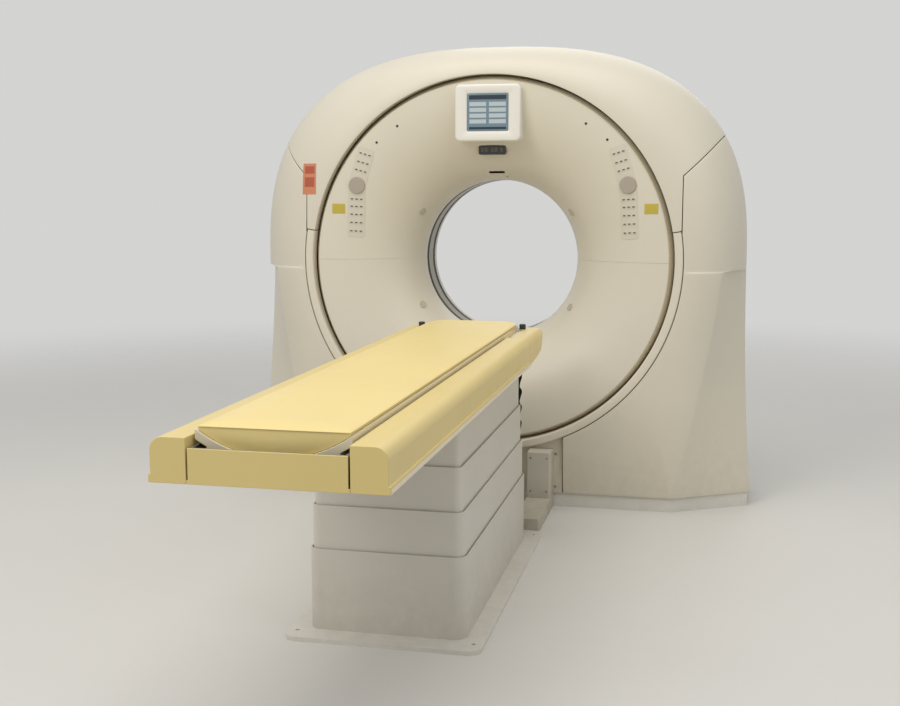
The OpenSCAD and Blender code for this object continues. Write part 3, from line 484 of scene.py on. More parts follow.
def repeat_on_points():
    """Puts a copy of one small object on every point of a mesh, turned by the point's own angles."""
    tree, given, result, add = tree_with_inputs(
        "repeat_on_points",
        [("Template", "Object", None), ("Scale", "Float", 1.0), ("Finish", "Material", None)])
    template = add("GeometryNodeObjectInfo", {"Object": given["Template"]})
    turn = add("GeometryNodeInputNamedAttribute", {"Name": "turn"}, data_type="FLOAT_VECTOR")
    rotation = add("FunctionNodeEulerToRotation", {"Euler": turn.outputs[0]})
    placed = add("GeometryNodeInstanceOnPoints",
                 {"Points": given["Geometry"], "Instance": template.outputs["Geometry"],
                  "Rotation": rotation.outputs[0], "Scale": given["Scale"]})
    real = add("GeometryNodeRealizeInstances", {"Geometry": placed.outputs[0]})
    finished = add("GeometryNodeSetMaterial", {"Geometry": real.outputs[0], "Material": given["Finish"]})
    tree.links.new(finished.outputs[0], result["Geometry"])
    return tree


REPEAT = repeat_on_points()


def set_inputs(modifier, values):
    """Sets a modifier's inputs by the names of their sockets."""
    for item in modifier.node_group.interface.items_tree:
        if item.item_type == "SOCKET" and item.in_out == "INPUT" and item.name in values:
            modifier[item.identifier] = values[item.name]


def repeat(name, template, places, body, finish, scale=1.0):
    """Copies of a template at (place, angles) pairs, as one plain mesh; the template is used up."""
    mesh = bpy.data.meshes.new(name)
    mesh.from_pydata([p for p, _ in places], [], [])
    turn = mesh.attributes.new("turn", "FLOAT_VECTOR", "POINT")
    turn.data.foreach_set("vector", [a for _, angles in places for a in angles])
    piece = add_piece(name, mesh)
    copies = piece.modifiers.new("repeat", "NODES")
    copies.node_group = REPEAT
    set_inputs(copies, {"Template": template, "Scale": scale, "Finish": finish})
    bake_modifiers(piece)
    bpy.data.objects.remove(template)
    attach(piece, body)
    return piece


def facing(way):
    """The angles that turn the upward axis to a direction."""
    return tuple(Vector(way).to_track_quat("Z", "Y").to_euler())


def join_rings(bm, rings):
    """Faces between each closed ring of points and the next."""
    for here, there in zip(rings, rings[1:]):
        for i in range(len(here)):
            k = (i + 1) % len(here)
            bm.faces.new((here[i], here[k], there[k], there[i]))


def loft(name, rings):
    """A closed skin through rings of the same number of points."""
    bm = bmesh.new()
    made = [[bm.verts.new(p) for p in ring] for ring in rings]
    join_rings(bm, made)
    bm.faces.new(made[0][::-1])
    bm.faces.new(made[-1])
    bmesh.ops.recalc_face_normals(bm, faces=bm.faces)
    return piece_from(bm, name)


def cap_screw(radius, height):
    """A low round head with a hexagon socket, facing up from its seat at the origin."""
    turns = np.radians(np.arange(0, 360, 15))

    def ring(r, z):
        return [(r * math.cos(a), r * math.sin(a), z) for a in turns]

    def socket(z):
        flat = 0.45 * radius
        return [(flat * math.cos(a) / math.cos(a % (math.pi / 3) - math.pi / 6),
                 flat * math.sin(a) / math.cos(a % (math.pi / 3) - math.pi / 6), z) for a in turns]

    shoulder, crown, floor = 0.7 * height, 0.9 * radius, 0.35 * height
    return loft("cap_screw", [ring(radius, 0), ring(radius, shoulder), ring(crown, height),
                              socket(height), socket(floor)])


SCREW_LOW, SCREW_HIGH, SCREW_UNDER_DRUM = 0.09, 0.235, 0.20
panel_screws = [((x, y * APRON_Y, z), facing((0, y, 0))) for y in (-1, 1) for x in (-0.30, -0.10, 0.10, 0.30)
                for z in (SCREW_LOW, SCREW_HIGH if abs(x) > 0.2 else SCREW_UNDER_DRUM)]
repeat("panel_screws", cap_screw(0.0055, 0.0022), panel_screws, "floor_frame", screw_steel)

# Trim band: a rounded extrusion bent round the lower half of the opening, clipped behind the side
# covers. It is a satin moulding whose crown stands just proud of the covers.
trim_paint = plastic("trim_paint", (224, 216, 197), rough=0.36, tone=0.03, dust=0.1)


def swept_ring(name, profile, low, high, steps):
    """A profile of radius and depth turned about the bore's axis, angles in degrees from +X upwards."""
    bm = bmesh.new()
    rings = [[bm.verts.new((r * math.cos(a), y, ISO + r * math.sin(a))) for r, y in profile]
             for a in np.radians(np.linspace(low, high, steps + 1))]
    join_rings(bm, rings)
    bm.faces.new(rings[0])
    bm.faces.new(rings[-1][::-1])
    bmesh.ops.recalc_face_normals(bm, faces=bm.faces)
    return piece_from(bm, name)


def arc(cx, cy, r, start, stop, steps):
    return [(cx + r * math.cos(a), cy + r * math.sin(a)) for a in np.radians(np.linspace(start, stop, steps))]


BAND_EDGE, BAND_WALL, BAND_SIDE, BAND_BACK = 0.008, 0.004, 0.3847, 0.3800
band_profile = (arc(OPENING + BAND_EDGE, -SHELL_FRONT + BAND_EDGE, BAND_EDGE, 180, 270, 9)
                + arc(OPENING + TRIM_WIDE - BAND_EDGE, -SHELL_FRONT + BAND_EDGE, BAND_EDGE, 270, 360, 9)
                + [(OPENING + TRIM_WIDE, -BAND_SIDE), (OPENING + TRIM_WIDE, -BAND_BACK),
                   (OPENING + BAND_WALL, -BAND_BACK), (OPENING + BAND_WALL, -LIP_BACK), (OPENING, -LIP_BACK)])
for end, y in ENDS:
    band = swept_ring(f"{end}_trim_skin", [(r, d * y) for r, d in band_profile],
                      -180 - SEAM_FOOT + FOOT_HALF, SEAM_FOOT - FOOT_HALF, 150)
    dress(smooth(band), trim_paint, "floor_frame", "trim_bands")

# Cable duct: a painted pressed channel along the floor from the table to the gantry, with an end
# box whose lid is held by four screws.
duct_paint = plastic("duct_paint", (206, 200, 184), rough=0.4, dust=0.8, dust_height=0.15)
finish_nodes(duct_paint, "cable_duct")
DUCT_X, DUCT_LID_Y, DUCT_SCREW_X = 0.24, -0.492, 0.035
duct_screws = [((DUCT_X + x, DUCT_LID_Y, z), facing((0, -1, 0)))
               for x in (-DUCT_SCREW_X, DUCT_SCREW_X) for z in (SCREW_LOW, SCREW_HIGH)]
repeat("duct_screws", cap_screw(0.004, 0.0016), duct_screws, "floor_frame", screw_steel)

# Disc of the drum: two halves of moulded glass-fibre that curve from the outer edge into the bore and
# meet at a fine level seam. The front's upper half has a narrow slot under the status bar.
DISC_R, DISC_Y, BORE_R, BORE_HALF, DISC_WALL, THROAT_Y = 0.765, 0.400, 0.350, 0.075, 0.005, 0.083
disc_paint = plastic("disc_paint", (222, 215, 196), rough=0.38, tone=0.03)


def mouth(radius, lift=0.0):
    """Depth of the disc's surface at a radius, a quarter ellipse, or of a film lifted off it."""
    e = min(1, max(0, (DISC_R - radius) / (DISC_R - BORE_R + lift)))
    return THROAT_Y + (DISC_Y - THROAT_Y + lift) * math.sqrt(1 - e * e)


def mouth_profile(inset, steps=72):
    """The disc's section from its straight lip at the bore to its outer edge."""
    across, deep = DISC_R - BORE_R - inset, DISC_Y - THROAT_Y - inset
    return [(BORE_R + inset, -BORE_HALF)] + [
        (DISC_R - across * math.cos(a), -THROAT_Y - deep * math.sin(a))
        for a in np.linspace(0, math.pi / 2, steps)]


def cut(piece, tool):
    """Cuts a tool's shape out of a piece and removes the tool."""
    knife = piece.modifiers.new("cut", "BOOLEAN")
    knife.object = tool
    knife.operation = "DIFFERENCE"
    knife.solver = "EXACT"
    bake_modifiers(piece, None)
    bpy.data.objects.remove(tool)


def rounded_block(name, size, radius, place):
    """A block about a centre, with the four edges along the bore's axis rounded where a radius is given."""
    bm = bmesh.new()
    bmesh.ops.create_cube(bm, size=1, matrix=Matrix.Diagonal((*size, 1)))
    if radius:
        along = [e for e in bm.edges if abs((e.verts[0].co - e.verts[1].co).normalized().y) > 0.9]
        bmesh.ops.bevel(bm, geom=along, offset=radius, segments=5, affect="EDGES", profile=0.5)
    bmesh.ops.transform(bm, matrix=Matrix.Translation(place), verts=bm.verts)
    return piece_from(bm, name)


DISC_SEAM_HALF, DISC_HALF_TURN = 0.03, 179.94
SLOT_SIZE, SLOT_CORNER, SLOT_RISE = (0.072, 0.5, 0.009), 0.004, 0.3825
disc_profile = mouth_profile(0) + mouth_profile(DISC_WALL)[::-1]
for end, y in ENDS:
    for part, low in (("upper", DISC_SEAM_HALF), ("lower", 180 + DISC_SEAM_HALF)):
        half = swept_ring(f"{end}_disc_{part}_skin", [(r, d * y) for r, d in disc_profile],
                          low, low + DISC_HALF_TURN, 160)
        if end == "front" and part == "upper":
            cut(half, rounded_block("slot_tool", SLOT_SIZE, SLOT_CORNER, (0, -0.3, ISO + SLOT_RISE)))
        dress(smooth(half, 40), disc_paint, "tilting_drum", f"{end}_disc_{part}")
drum_paint = plastic("drum_paint", (226, 216, 192), rough=0.45, tone=0.06)
finish_nodes(drum_paint, "drum_shell")

# Bore: two dark rubber rings between the disc's throats, and in the middle a thin satin film of
# plastic that the beam passes through.
seal_rubber = dulled(plastic("seal_rubber", (24, 22, 19), rough=0.45, grain=1500, tone=0.0), 0.12)
finish_nodes(seal_rubber, "bore_seals")
window_film = dulled(plastic("window_film", (152, 145, 124), rough=0.25, tone=0.06, bump=0.03), 0.25)
finish_nodes(window_film, "scan_window")

# Positioning lights: four round frosted lenses at the mouth of the bore, pressed into the disc square
# to its surface.
lens_frost = plastic("lens_frost", (196, 188, 168), rough=0.12, tone=0.1, bump=0.0, coat_weight=0.8)
finish_nodes(lens_frost, "position_lights")


def rounded_outline(wide, high, radius, corner=6):
    """Points round a rounded rectangle about its centre, so many to each corner."""
    points = []
    for turn, (right, up) in enumerate(((1, 1), (-1, 1), (-1, -1), (1, -1))):
        x, y = right * (wide / 2 - radius), up * (high / 2 - radius)
        points += [(x + radius * math.cos(a), y + radius * math.sin(a))
                   for a in np.linspace(turn, turn + 1, corner) * math.pi / 2]
    return points


def upright_ring(wide, high, radius, y, z):
    return [(u, y, z + v) for u, v in rounded_outline(wide, high, radius)]


def rounded_front(wide, high, radius, back, front, z, edge):
    """Rings of an upright block from its back to its front, with a rounded front edge."""
    return [upright_ring(wide, high, radius, back, z)] + [
        upright_ring(wide - 2 * edge * (1 - math.cos(a)), high - 2 * edge * (1 - math.cos(a)),
                     radius - edge * (1 - math.cos(a)), front + edge * (1 - math.sin(a)), z)
        for a in np.linspace(0, math.pi / 2, 7)]


def fields(name, body, material, y, boxes, rise=0.0003):
    """Thin plain colour fields (centre x, centre z, width, height) on a face square to the bore."""
    bm = bmesh.new()
    for x, z, wide, high in boxes:
        place = Matrix.Translation((x, y - rise / 2, z)) @ Matrix.Diagonal((wide, rise, high, 1))
        bmesh.ops.create_cube(bm, size=1, matrix=place)
    dress(piece_from(bm, name), material, body)


# Display: a moulded white housing with a soft front edge, a bezel that slopes in to the glass, and
# a lit panel with plain fields of colour.
DISPLAY_Z, DISPLAY_FRONT, DISPLAY_BACK = ISO + 0.627, -0.438, -0.326
SCREEN_WIDE, SCREEN_HIGH, SCREEN_Z = 0.178, 0.157, ISO + 0.629
BEZEL, GLASS_FIT, GLASS_DEEP, SCREEN_FRONT = 0.018, 0.0012, 0.0026, DISPLAY_FRONT + 0.0034
housing_white = plastic("housing_white", (232, 229, 218), rough=0.34, tone=0.02)
rings = rounded_front(0.282, 0.238, 0.022, DISPLAY_BACK, DISPLAY_FRONT, DISPLAY_Z, 0.009)
rings += [upright_ring(SCREEN_WIDE + BEZEL, SCREEN_HIGH + BEZEL, 0.013, DISPLAY_FRONT, SCREEN_Z)]
rings += [upright_ring(SCREEN_WIDE + GLASS_FIT, SCREEN_HIGH + GLASS_FIT, 0.0066, DISPLAY_FRONT + deep,
                       SCREEN_Z) for deep in (0.0032, 0.0060)]
housing = smooth(loft("display_frame", rings), 30)
dress(housing, housing_white, "tilting_drum", "display_housing")
screen_glass = plastic("screen_glass", (112, 134, 148), rough=0.12, tone=0.1, bump=0.0,
                       coat_weight=0.6)
glass = loft("display_glass", rounded_front(SCREEN_WIDE, SCREEN_HIGH, 0.006, SCREEN_FRONT + GLASS_DEEP,
                                            SCREEN_FRONT, SCREEN_Z, 0.0008))
dress(smooth(glass, 30), screen_glass, "tilting_drum", "display_screen")
field_dark = plastic("field_dark", (44, 56, 68), rough=0.2, bump=0.0)
field_light = plastic("field_light", (186, 198, 200), rough=0.2, bump=0.0)
fields("display_header", "tilting_drum", field_dark, SCREEN_FRONT,
       [(0, SCREEN_Z + 0.062, 0.160, 0.018), (0, SCREEN_Z - 0.066, 0.160, 0.010)])
fields("display_fields", "tilting_drum", field_light, SCREEN_FRONT,
       [(x, SCREEN_Z + z, 0.072, 0.017) for x in (-0.042, 0.042) for z in (0.034, 0.010, -0.014, -0.038)])

# Status bar: a black gloss window with rounded corners that stands out of the disc below the display,
# with a row of plain pale fields.
gloss_black = plastic("gloss_black", (40, 37, 32), rough=0.12, tone=0.1, bump=0.0, coat_weight=0.5)
STATUS_WIDE, STATUS_HIGH, STATUS_Z, STATUS_FRONT, STATUS_BACK = 0.120, 0.041, ISO + 0.476, -0.326, -0.290
bar = loft("status_bar", rounded_front(STATUS_WIDE, STATUS_HIGH, 0.008, STATUS_BACK, STATUS_FRONT, STATUS_Z,
                                       0.003))
dress(smooth(bar, 30), gloss_black, "tilting_drum", "status_display")
status_pale = plastic("status_pale", (98, 92, 80), rough=0.2, bump=0.0)
fields("status_fields", "tilting_drum", status_pale, STATUS_FRONT,
       [(x, STATUS_Z, 0.012, 0.018) for x in (-0.042, -0.026, 0.002, 0.018, 0.040)])


def disc_slope(radius):
    """How steeply the disc's surface falls back towards the bore at a radius."""
    e = (DISC_R - radius) / (DISC_R - BORE_R)
    return (DISC_Y - THROAT_Y) / (DISC_R - BORE_R) * e / math.sqrt(1 - e * e)


def on_disc(x, z, lift=0.0, lean=0.0):
    """A place on the disc's front, x and z from the isocentre, and the angles that face out of it."""
    radius = math.hypot(x, z)
    slope = disc_slope(radius)
    out = Vector((-slope * x / radius, -1, -slope * z / radius)).normalized()
    up = Vector((-math.sin(math.radians(lean)), 0, math.cos(math.radians(lean))))
    side = up.cross(out).normalized()
    axes = Matrix((side, out.cross(side), out)).transposed()
    return tuple(Vector((x, -mouth(radius), ISO + z)) + lift * out), tuple(axes.to_euler())


def flat_button(name, wide, high, radius, height, edge, corner=5):
    """A button with a rounded rim and a slightly dished top, standing on the origin."""
    def ring(inset, z):
        rim = rounded_outline(wide - 2 * inset, high - 2 * inset, max(radius - inset, 0.0002), corner)
        return [(u, v, z) for u, v in rim]

    rings = [ring(0, 0)] + [ring(edge * (1 - math.cos(a)), height - edge * (1 - math.sin(a)))
                            for a in np.linspace(0, math.pi / 2, 5)]
    return loft(name, rings + [ring(min(wide, high) * 0.3, height - edge * 0.25)])


def softened(node, width, material, body, segments=2):
    """A copy of a CAD piece with its sharp edges rounded, which then stands for it."""
    mesh = nodes[node].data.copy()
    bm = bmesh.new()
    bm.from_mesh(mesh)
    bmesh.ops.remove_doubles(bm, verts=bm.verts, dist=MERGE_UNDER)
    bmesh.ops.dissolve_limit(bm, angle_limit=math.radians(0.6), verts=bm.verts, edges=bm.edges)
    bm.to_mesh(mesh)
    bm.free()
    mesh.polygons.foreach_set("use_smooth", [True] * len(mesh.polygons))
    piece = add_piece(f"{node}_body", mesh)
    round_edges(piece, width, segments, 40)
    even = piece.modifiers.new("even shading", "WEIGHTED_NORMAL")
    even.weight = 60
    bake_modifiers(piece, None)
    dress(piece, material, body, node)
    return piece


# Key films: two films of embossed polyester that follow the disc, with raised keys in rows above and
# below a round opening for the jog button. The symbols are plain dark bars printed on the keys.
PAD_X, PAD_Z, KEY_PITCH, KEY_HIGH = 0.590, 0.325, 0.020, 0.0028
KEY_ROWS = ((17, (0.140, 0.102, 0.066)), (3, (-0.060, -0.092, -0.127, -0.163, -0.200)))
film_cream = plastic("film_cream", (216, 209, 191), rough=0.32, tone=0.03)
symbol_dark = plastic("symbol_dark", (95, 88, 78), rough=0.5)
for side, sign in (("left", -1), ("right", 1)):
    softened(f"{side}_keypad", 0.0005, film_cream, "tilting_drum")
    places = []
    for lean, rows in KEY_ROWS:
        tilt = math.radians(lean)
        for along in rows:
            for across in (-KEY_PITCH, 0, KEY_PITCH):
                x = PAD_X - along * math.sin(tilt) + across * math.cos(tilt)
                z = PAD_Z + along * math.cos(tilt) + across * math.sin(tilt)
                places.append(on_disc(sign * x, z, KEY_HIGH, sign * lean))
    repeat(f"{side}_symbols", flat_button("symbol", 0.0110, 0.0055, 0.0008, 0.0003, 0.0001), places,
           "tilting_drum", symbol_dark)

# Jog buttons: two round moulded buttons with a soft rim, one in the round opening of each key film.
# They press in.
jog_grey = plastic("jog_grey", (176, 166, 150), rough=0.34, tone=0.03)
softened("left_jog_button", 0.0016, jog_grey, "left_jog_body", 3)
softened("right_jog_button", 0.0016, jog_grey, "right_jog_body", 3)

# Small fittings on the front: four rubber caps over the disc's fixing screws, a microphone cap under
# the slot, two plain yellow labels, and a plain orange tag across the seam of the top and left covers.
cap_rubber = plastic("cap_rubber", (58, 55, 48), rough=0.5)
caps = [on_disc(x, z) for x, z in ((-0.404, 0.578), (-0.497, 0.509), (0.411, 0.579), (0.501, 0.512))]
repeat("screw_caps", flat_button("cap", 0.011, 0.011, 0.0054, 0.0016, 0.0012), caps, "tilting_drum",
       cap_rubber)
repeat("microphone_cap", flat_button("cap", 0.008, 0.008, 0.0039, 0.0012, 0.0008), [on_disc(0.041, 0.364)],
       "tilting_drum", cap_rubber)
label_yellow = plastic("label_yellow", (196, 176, 70), rough=0.35, tone=0.03, bump=0.0)
repeat("yellow_labels", flat_button("label", 0.057, 0.043, 0.002, 0.0003, 0.0001),
       [on_disc(-0.673, 0.223), on_disc(0.689, 0.226)], "tilting_drum", label_yellow)
tag_orange = plastic("tag_orange", (206, 132, 96), rough=0.4, tone=0.03, bump=0.0)
tag_dark = plastic("tag_dark", (176, 88, 62), rough=0.4, tone=0.03, bump=0.0)
TAG_FILM = 0.0003


def shell_depth(x, z):
    """Depth of the covers' surface at a place beside and above the isocentre."""
    radius, angle = math.hypot(x, z), math.degrees(math.atan2(z, x))
    share = min(1, max(0, (radius - OPENING) / (outline(angle) - OPENING)))
    return lerp(-SHELL_FRONT, -SHELL_SIDE, 1 - math.cos(math.asin(share)))


def cover_field(name, material, x0, x1, z0, z1, lift):
    """A thin plain film laid on the covers' curve, between x0 and x1 and between z0 and z1."""
    rows = [[(x, shell_depth(x, z) - lift, ISO + z) for x in np.linspace(x0, x1, 9)]
            for z in np.linspace(z1, z0, 15)]
    film = mesh_from_rows(name, rows, (0, -1, 0))
    wall(film, TAG_FILM)
    dress(bake_modifiers(film), material, "floor_frame")


cover_field("orange_tag", tag_orange, -0.838, -0.772, 0.285, 0.420, 0.0004)
cover_field("tag_upper_bar", tag_dark, -0.828, -0.780, 0.376, 0.408, 0.0007)
cover_field("tag_lower_bar", tag_dark, -0.828, -0.780, 0.318, 0.360, 0.0007)

# Base, uprights and levelling feet: a welded frame of painted steel box sections on five screwed feet,
# hidden behind the covers.
frame_paint = metal("frame_paint", (92, 98, 104), rough=0.5, lines=300, streak=0.05, metallic=0.0)
finish_nodes(frame_paint, "base_frame", "left_upright", "right_upright", "cover_brackets")
foot_steel = metal("foot_steel", (150, 150, 146), rough=0.4)
finish_nodes(foot_steel, "levelling_feet")

# Tilting: a cast frame that carries the drum, steel bearings for its trunnions at both sides, and a
# geared motor on the left one that tips it.
bearing_steel = metal("bearing_steel", (172, 172, 170), rough=0.25)
finish_nodes(bearing_steel, "trunnion_bearings")
drive_grey = metal("drive_grey", (70, 74, 80), rough=0.4, metallic=0.3)
finish_nodes(drive_grey, "tilt_drive")
tilt_casting = metal("tilt_casting", (128, 130, 130), rough=0.45, lines=500, streak=0.1, metallic=0.6)
finish_nodes(tilt_casting, "tilt_frame")

# Main bearing: two ground steel races that carry the rotor. The outer one belongs to the tilting drum
# and the inner one turns with the rotor.
ground_steel = metal("ground_steel", (190, 190, 188), rough=0.18, lines=1400, streak=0.06)
finish_nodes(ground_steel, "outer_race", "inner_race")

# Rotor drive: a flat motor that tilts with the drum, its turned pulley, and a flat rubber belt round
# the rotor's rim.
finish_nodes(drive_grey, "drive_motor")
finish_nodes(bearing_steel, "motor_pulley")
belt_rubber = plastic("belt_rubber", (30, 30, 30), rough=0.7, grain=1800, tone=0.02)
finish_nodes(belt_rubber, "drive_belt")

# Slip ring and brushes: copper tracks in a moulded plate, and graphite brush blocks that ride on them
# to bring current and data to the turning rotor.
track_copper = metal("track_copper", (190, 130, 92), rough=0.3, lines=1500, streak=0.15)
finish_nodes(track_copper, "slip_ring")
brush_graphite = plastic("brush_graphite", (46, 44, 42), rough=0.6, tone=0.1)
finish_nodes(brush_graphite, "brush_block")

# Rotor and what it carries: a machined ring plate with the tube, collimator, detector, two
# high-voltage tanks, a finned cooler and four steel blocks that balance them about the bore.
plate_aluminium = metal("plate_aluminium", (168, 172, 176), rough=0.32, lines=1100, streak=0.1)
finish_nodes(plate_aluminium, "rotor")
tank_grey = metal("tank_grey", (118, 122, 126), rough=0.42, lines=400, streak=0.06, metallic=0.4)
finish_nodes(tank_grey, "xray_tube", "high_voltage_tanks")
lead_grey = metal("lead_grey", (134, 136, 142), rough=0.5, lines=500, streak=0.12, metallic=0.7)
finish_nodes(lead_grey, "collimator")
detector_blue = plastic("detector_blue", (52, 60, 92), rough=0.42, tone=0.06)
finish_nodes(detector_blue, "detector")
fin_aluminium = metal("fin_aluminium", (150, 152, 154), rough=0.36, lines=900, streak=0.12)
finish_nodes(fin_aluminium, "cooling_unit")
block_steel = metal("block_steel", (138, 140, 144), rough=0.3, lines=700, streak=0.1)
finish_nodes(block_steel, "balance_weights")

# Table column: a white painted floor plate, and four telescopic stages of folded sheet in light grey
# paint round the lifting motor and screw.
column_grey = plastic("column_grey", (212, 207, 195), rough=0.42, dust=0.35, dust_height=0.3)
finish_nodes(plinth_white, "table_base")
finish_nodes(column_grey, "column_lower", "column_middle", "column_inner", "column_upper")
finish_nodes(drive_grey, "lift_drive")

# Bellows: a black coated fabric folded into even pleats between the floor plate and the table, with
# rounded creases.
bellows_black = plastic("bellows_black", (40, 38, 34), rough=0.55, grain=1600, tone=0.06, dust=0.5,
                        dust_height=0.4, bump=0.3)
bellows_low, bellows_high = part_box("front_bellows")
PANELS, PANEL_STEPS, CREASE, CLOTH = 22, 8, 0.004, 0.0014


def pleat_rows():
    """Rows from the floor plate up to the table, in and out by the pleats' depth."""
    near, far = bellows_low[1] + 0.002, bellows_high[1] - 0.003
    step = (bellows_high[2] - bellows_low[2] - 2 * CLOTH) / PANELS
    rows = []
    for i in range(PANELS * PANEL_STEPS + 1):
        phase = i / PANEL_STEPS
        fold = abs((phase % 2) - 1)
        flat = (fold - CREASE / step) / (1 - 2 * CREASE / step)
        eased = 0.5 - 0.5 * math.cos(math.pi * min(1, max(0, flat)))
        share = lerp(fold, eased, 0.5)
        y = lerp(far, near, 1 - share)
        rows.append([(x, y, bellows_low[2] + CLOTH + phase * step)
                     for x in np.linspace(bellows_low[0] + 0.001, bellows_high[0] - 0.001, 13)])
    return rows


bellows = mesh_from_rows("bellows_cloth", pleat_rows(), (0, -1, 0))
wall(bellows, CLOTH, 0)
bake_modifiers(bellows, 60)
dress(bellows, bellows_black, None, "front_bellows")
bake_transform(bellows)

# Table top: an aluminium tray with guides for the cradle and a painted rear end, two moulded yellow side
# rails with a painted highlight as a thin pale strip along their lower edge, and the moulded nose at the
# gantry end.
table_yellow = plastic("table_yellow", (226, 204, 134), rough=0.36, tone=0.04)
tray_metal = metal("tray_metal", (178, 178, 176), rough=0.35)
tray = softened("table_frame", 0.0015, tray_metal, "table_top_body")
tray.data.materials.append(table_yellow)
painted_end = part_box("table_frame")[0][1] + 0.003
for face in tray.data.polygons:
    if face.center.y < painted_end:
        face.material_index = 1
softened("side_rails", 0.0025, table_yellow, "table_top_body")
softened("table_nose", 0.006, table_yellow, "table_top_body", 3)
# Painted highlight: the thin pale strip on each rail's lower edge stands in for the light that this edge
# catches.
strip_pale = plastic("strip_pale", (236, 226, 204), rough=0.4, tone=0.03)
rail_low, rail_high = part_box("side_rails")
STRIP_THICK, STRIP_HIGH, STRIP_OUT, STRIP_UP = 0.0012, 0.010, 0.0007, 0.008
strip_size = (STRIP_THICK, rail_high[1] - rail_low[1] - 0.004, STRIP_HIGH)
for side, sign in (("left", -1), ("right", 1)):
    middle = (sign * (rail_high[0] + STRIP_OUT), (rail_low[1] + rail_high[1]) / 2, rail_low[2] + STRIP_UP)
    dress(rounded_block(f"{side}_edge_strip", strip_size, 0, middle), strip_pale, "table_top_body")

# Knobs: two small black plastic knobs that stand on top of the table, one beside each edge of the
# cradle. They have a rounded rim and a slightly dished top.
knob_black = plastic("knob_black", (38, 36, 32), rough=0.35, grain=1200)
KNOB_X, KNOB_Y, KNOB_WIDE, KNOB_HIGH = 0.208, -0.755, 0.026, 0.021
repeat("cradle_knobs", flat_button("knob", KNOB_WIDE, KNOB_WIDE, 0.0129, KNOB_HIGH, 0.004, 9),
       [((x, KNOB_Y, rail_high[2] + 0.0001), (0, 0, 0)) for x in (-KNOB_X, KNOB_X)],
       "table_top_body", knob_black)

# Cradle: a carbon-fibre sandwich shell of crescent section with a smooth cream gel coat. It slides
# on the tray's guides.
cradle_cream = plastic("cradle_cream", (226, 216, 186), rough=0.3, tone=0.03, coat_weight=0.3)
softened("cradle", 0.003, cradle_cream, "cradle_body")

# Mattress: foam in a coated yellow cover that fills the cradle, with a welded seam round its top
# edge. The top swells between the seams.
CRADLE_R, CRADLE_WALL, PAD_FIT = 0.338, 0.020, 0.0003
PAD_R = CRADLE_R - CRADLE_WALL - PAD_FIT
pad_low, pad_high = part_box("mattress")
PAD_CENTRE_Z, PAD_WIDE, PAD_TIP = pad_low[2] + PAD_R, pad_high[0], 0.070
PAD_TOP, PAD_INSET, SWELL, SWELL_OVER = pad_high[2], 0.0008, 0.006, 0.03


def pad_plan(y):
    """Half width of the pad, rounded at the gantry end."""
    short = pad_high[1] - PAD_TIP - y
    if short >= 0:
        return PAD_WIDE
    return PAD_WIDE - PAD_TIP + math.sqrt(max(0, PAD_TIP ** 2 - short ** 2))


def pad_mesh(across=28, along=190):
    """A closed pad: a crowned top, side walls and an underside that lies in the cradle."""
    front = pad_high[1] - 0.001
    tip = front - PAD_TIP + PAD_TIP * np.sin(np.linspace(0, math.pi / 2 * 0.985, 16))
    stations = np.concatenate([np.linspace(pad_low[1] + 0.001, front - PAD_TIP, along), tip[1:]])
    bm = bmesh.new()
    loops = []
    for y in stations:
        wide = pad_plan(y) - PAD_INSET
        near_end = min(1, (y - stations[0]) / SWELL_OVER, (stations[-1] - y) / SWELL_OVER)
        top, under = [], []
        for t in np.linspace(-1, 1, across + 1):
            x = wide * t
            edge = min(1, (1 - abs(t)) * wide / SWELL_OVER)
            puff = math.sin(math.pi / 2 * max(0, min(edge, near_end))) ** 0.6
            top.append((x, y, PAD_TOP - 0.005 + SWELL * puff))
            floor = PAD_CENTRE_Z - math.sqrt(PAD_R ** 2 - x * x) + PAD_INSET
            under.append((x, y, min(floor, PAD_TOP - 0.008)))
        loops.append([bm.verts.new(p) for p in top + under[::-1]])
    join_rings(bm, loops)
    for loop in (loops[0], loops[-1]):
        for i in range(across):
            bm.faces.new((loop[i], loop[i + 1], loop[2 * across - i], loop[2 * across + 1 - i]))
    bmesh.ops.recalc_face_normals(bm, faces=bm.faces)
    return piece_from(bm, "mattress_pad")


vinyl = plastic("vinyl_yellow", (236, 214, 144), rough=0.42, grain=420, bump=0.22)
SETTLE_FRAMES, SWELL_CAP = 20, 0.004
pad = pad_mesh()
start_shape = [v.co.copy() for v in pad.data.vertices]
held = pad.vertex_groups.new(name="held")
for v in pad.data.vertices:
    x, y, z = v.co
    edge = abs(x) > pad_plan(y) - 0.004 or y < pad_low[1] + 0.004 or y > pad_high[1] - 0.006
    held.add([v.index], 1.0 if edge or z < PAD_TOP - 0.0075 else 0.0, "REPLACE")
cloth = pad.modifiers.new("cloth", "CLOTH")
cloth.settings.quality = 4
cloth.settings.mass = 0.3
cloth.settings.tension_stiffness = 25
cloth.settings.compression_stiffness = 12
cloth.settings.bending_stiffness = 1.2
cloth.settings.use_pressure = True
cloth.settings.uniform_pressure_force = 4
cloth.settings.vertex_group_mass = "held"
cloth.settings.effector_weights.gravity = 0
cloth.point_cache.frame_start = 1
cloth.point_cache.frame_end = SETTLE_FRAMES
for step in range(1, SETTLE_FRAMES + 1):
    bpy.context.scene.frame_set(step)
settled = pad.evaluated_get(bpy.context.evaluated_depsgraph_get()).data
for v, first, now in zip(pad.data.vertices, start_shape, settled.vertices):
    move = now.co - first
    v.co = first + move.normalized() * min(move.length, SWELL_CAP) if move.length else first
pad.modifiers.remove(cloth)
bpy.context.scene.frame_set(1)
round_edges(pad, 0.0022, 2, 50)
bake_modifiers(pad, 50)
dress(pad, vinyl, "cradle_body", "mattress")


BEAD_R, BEAD_DOWN = 0.0013, 0.0062


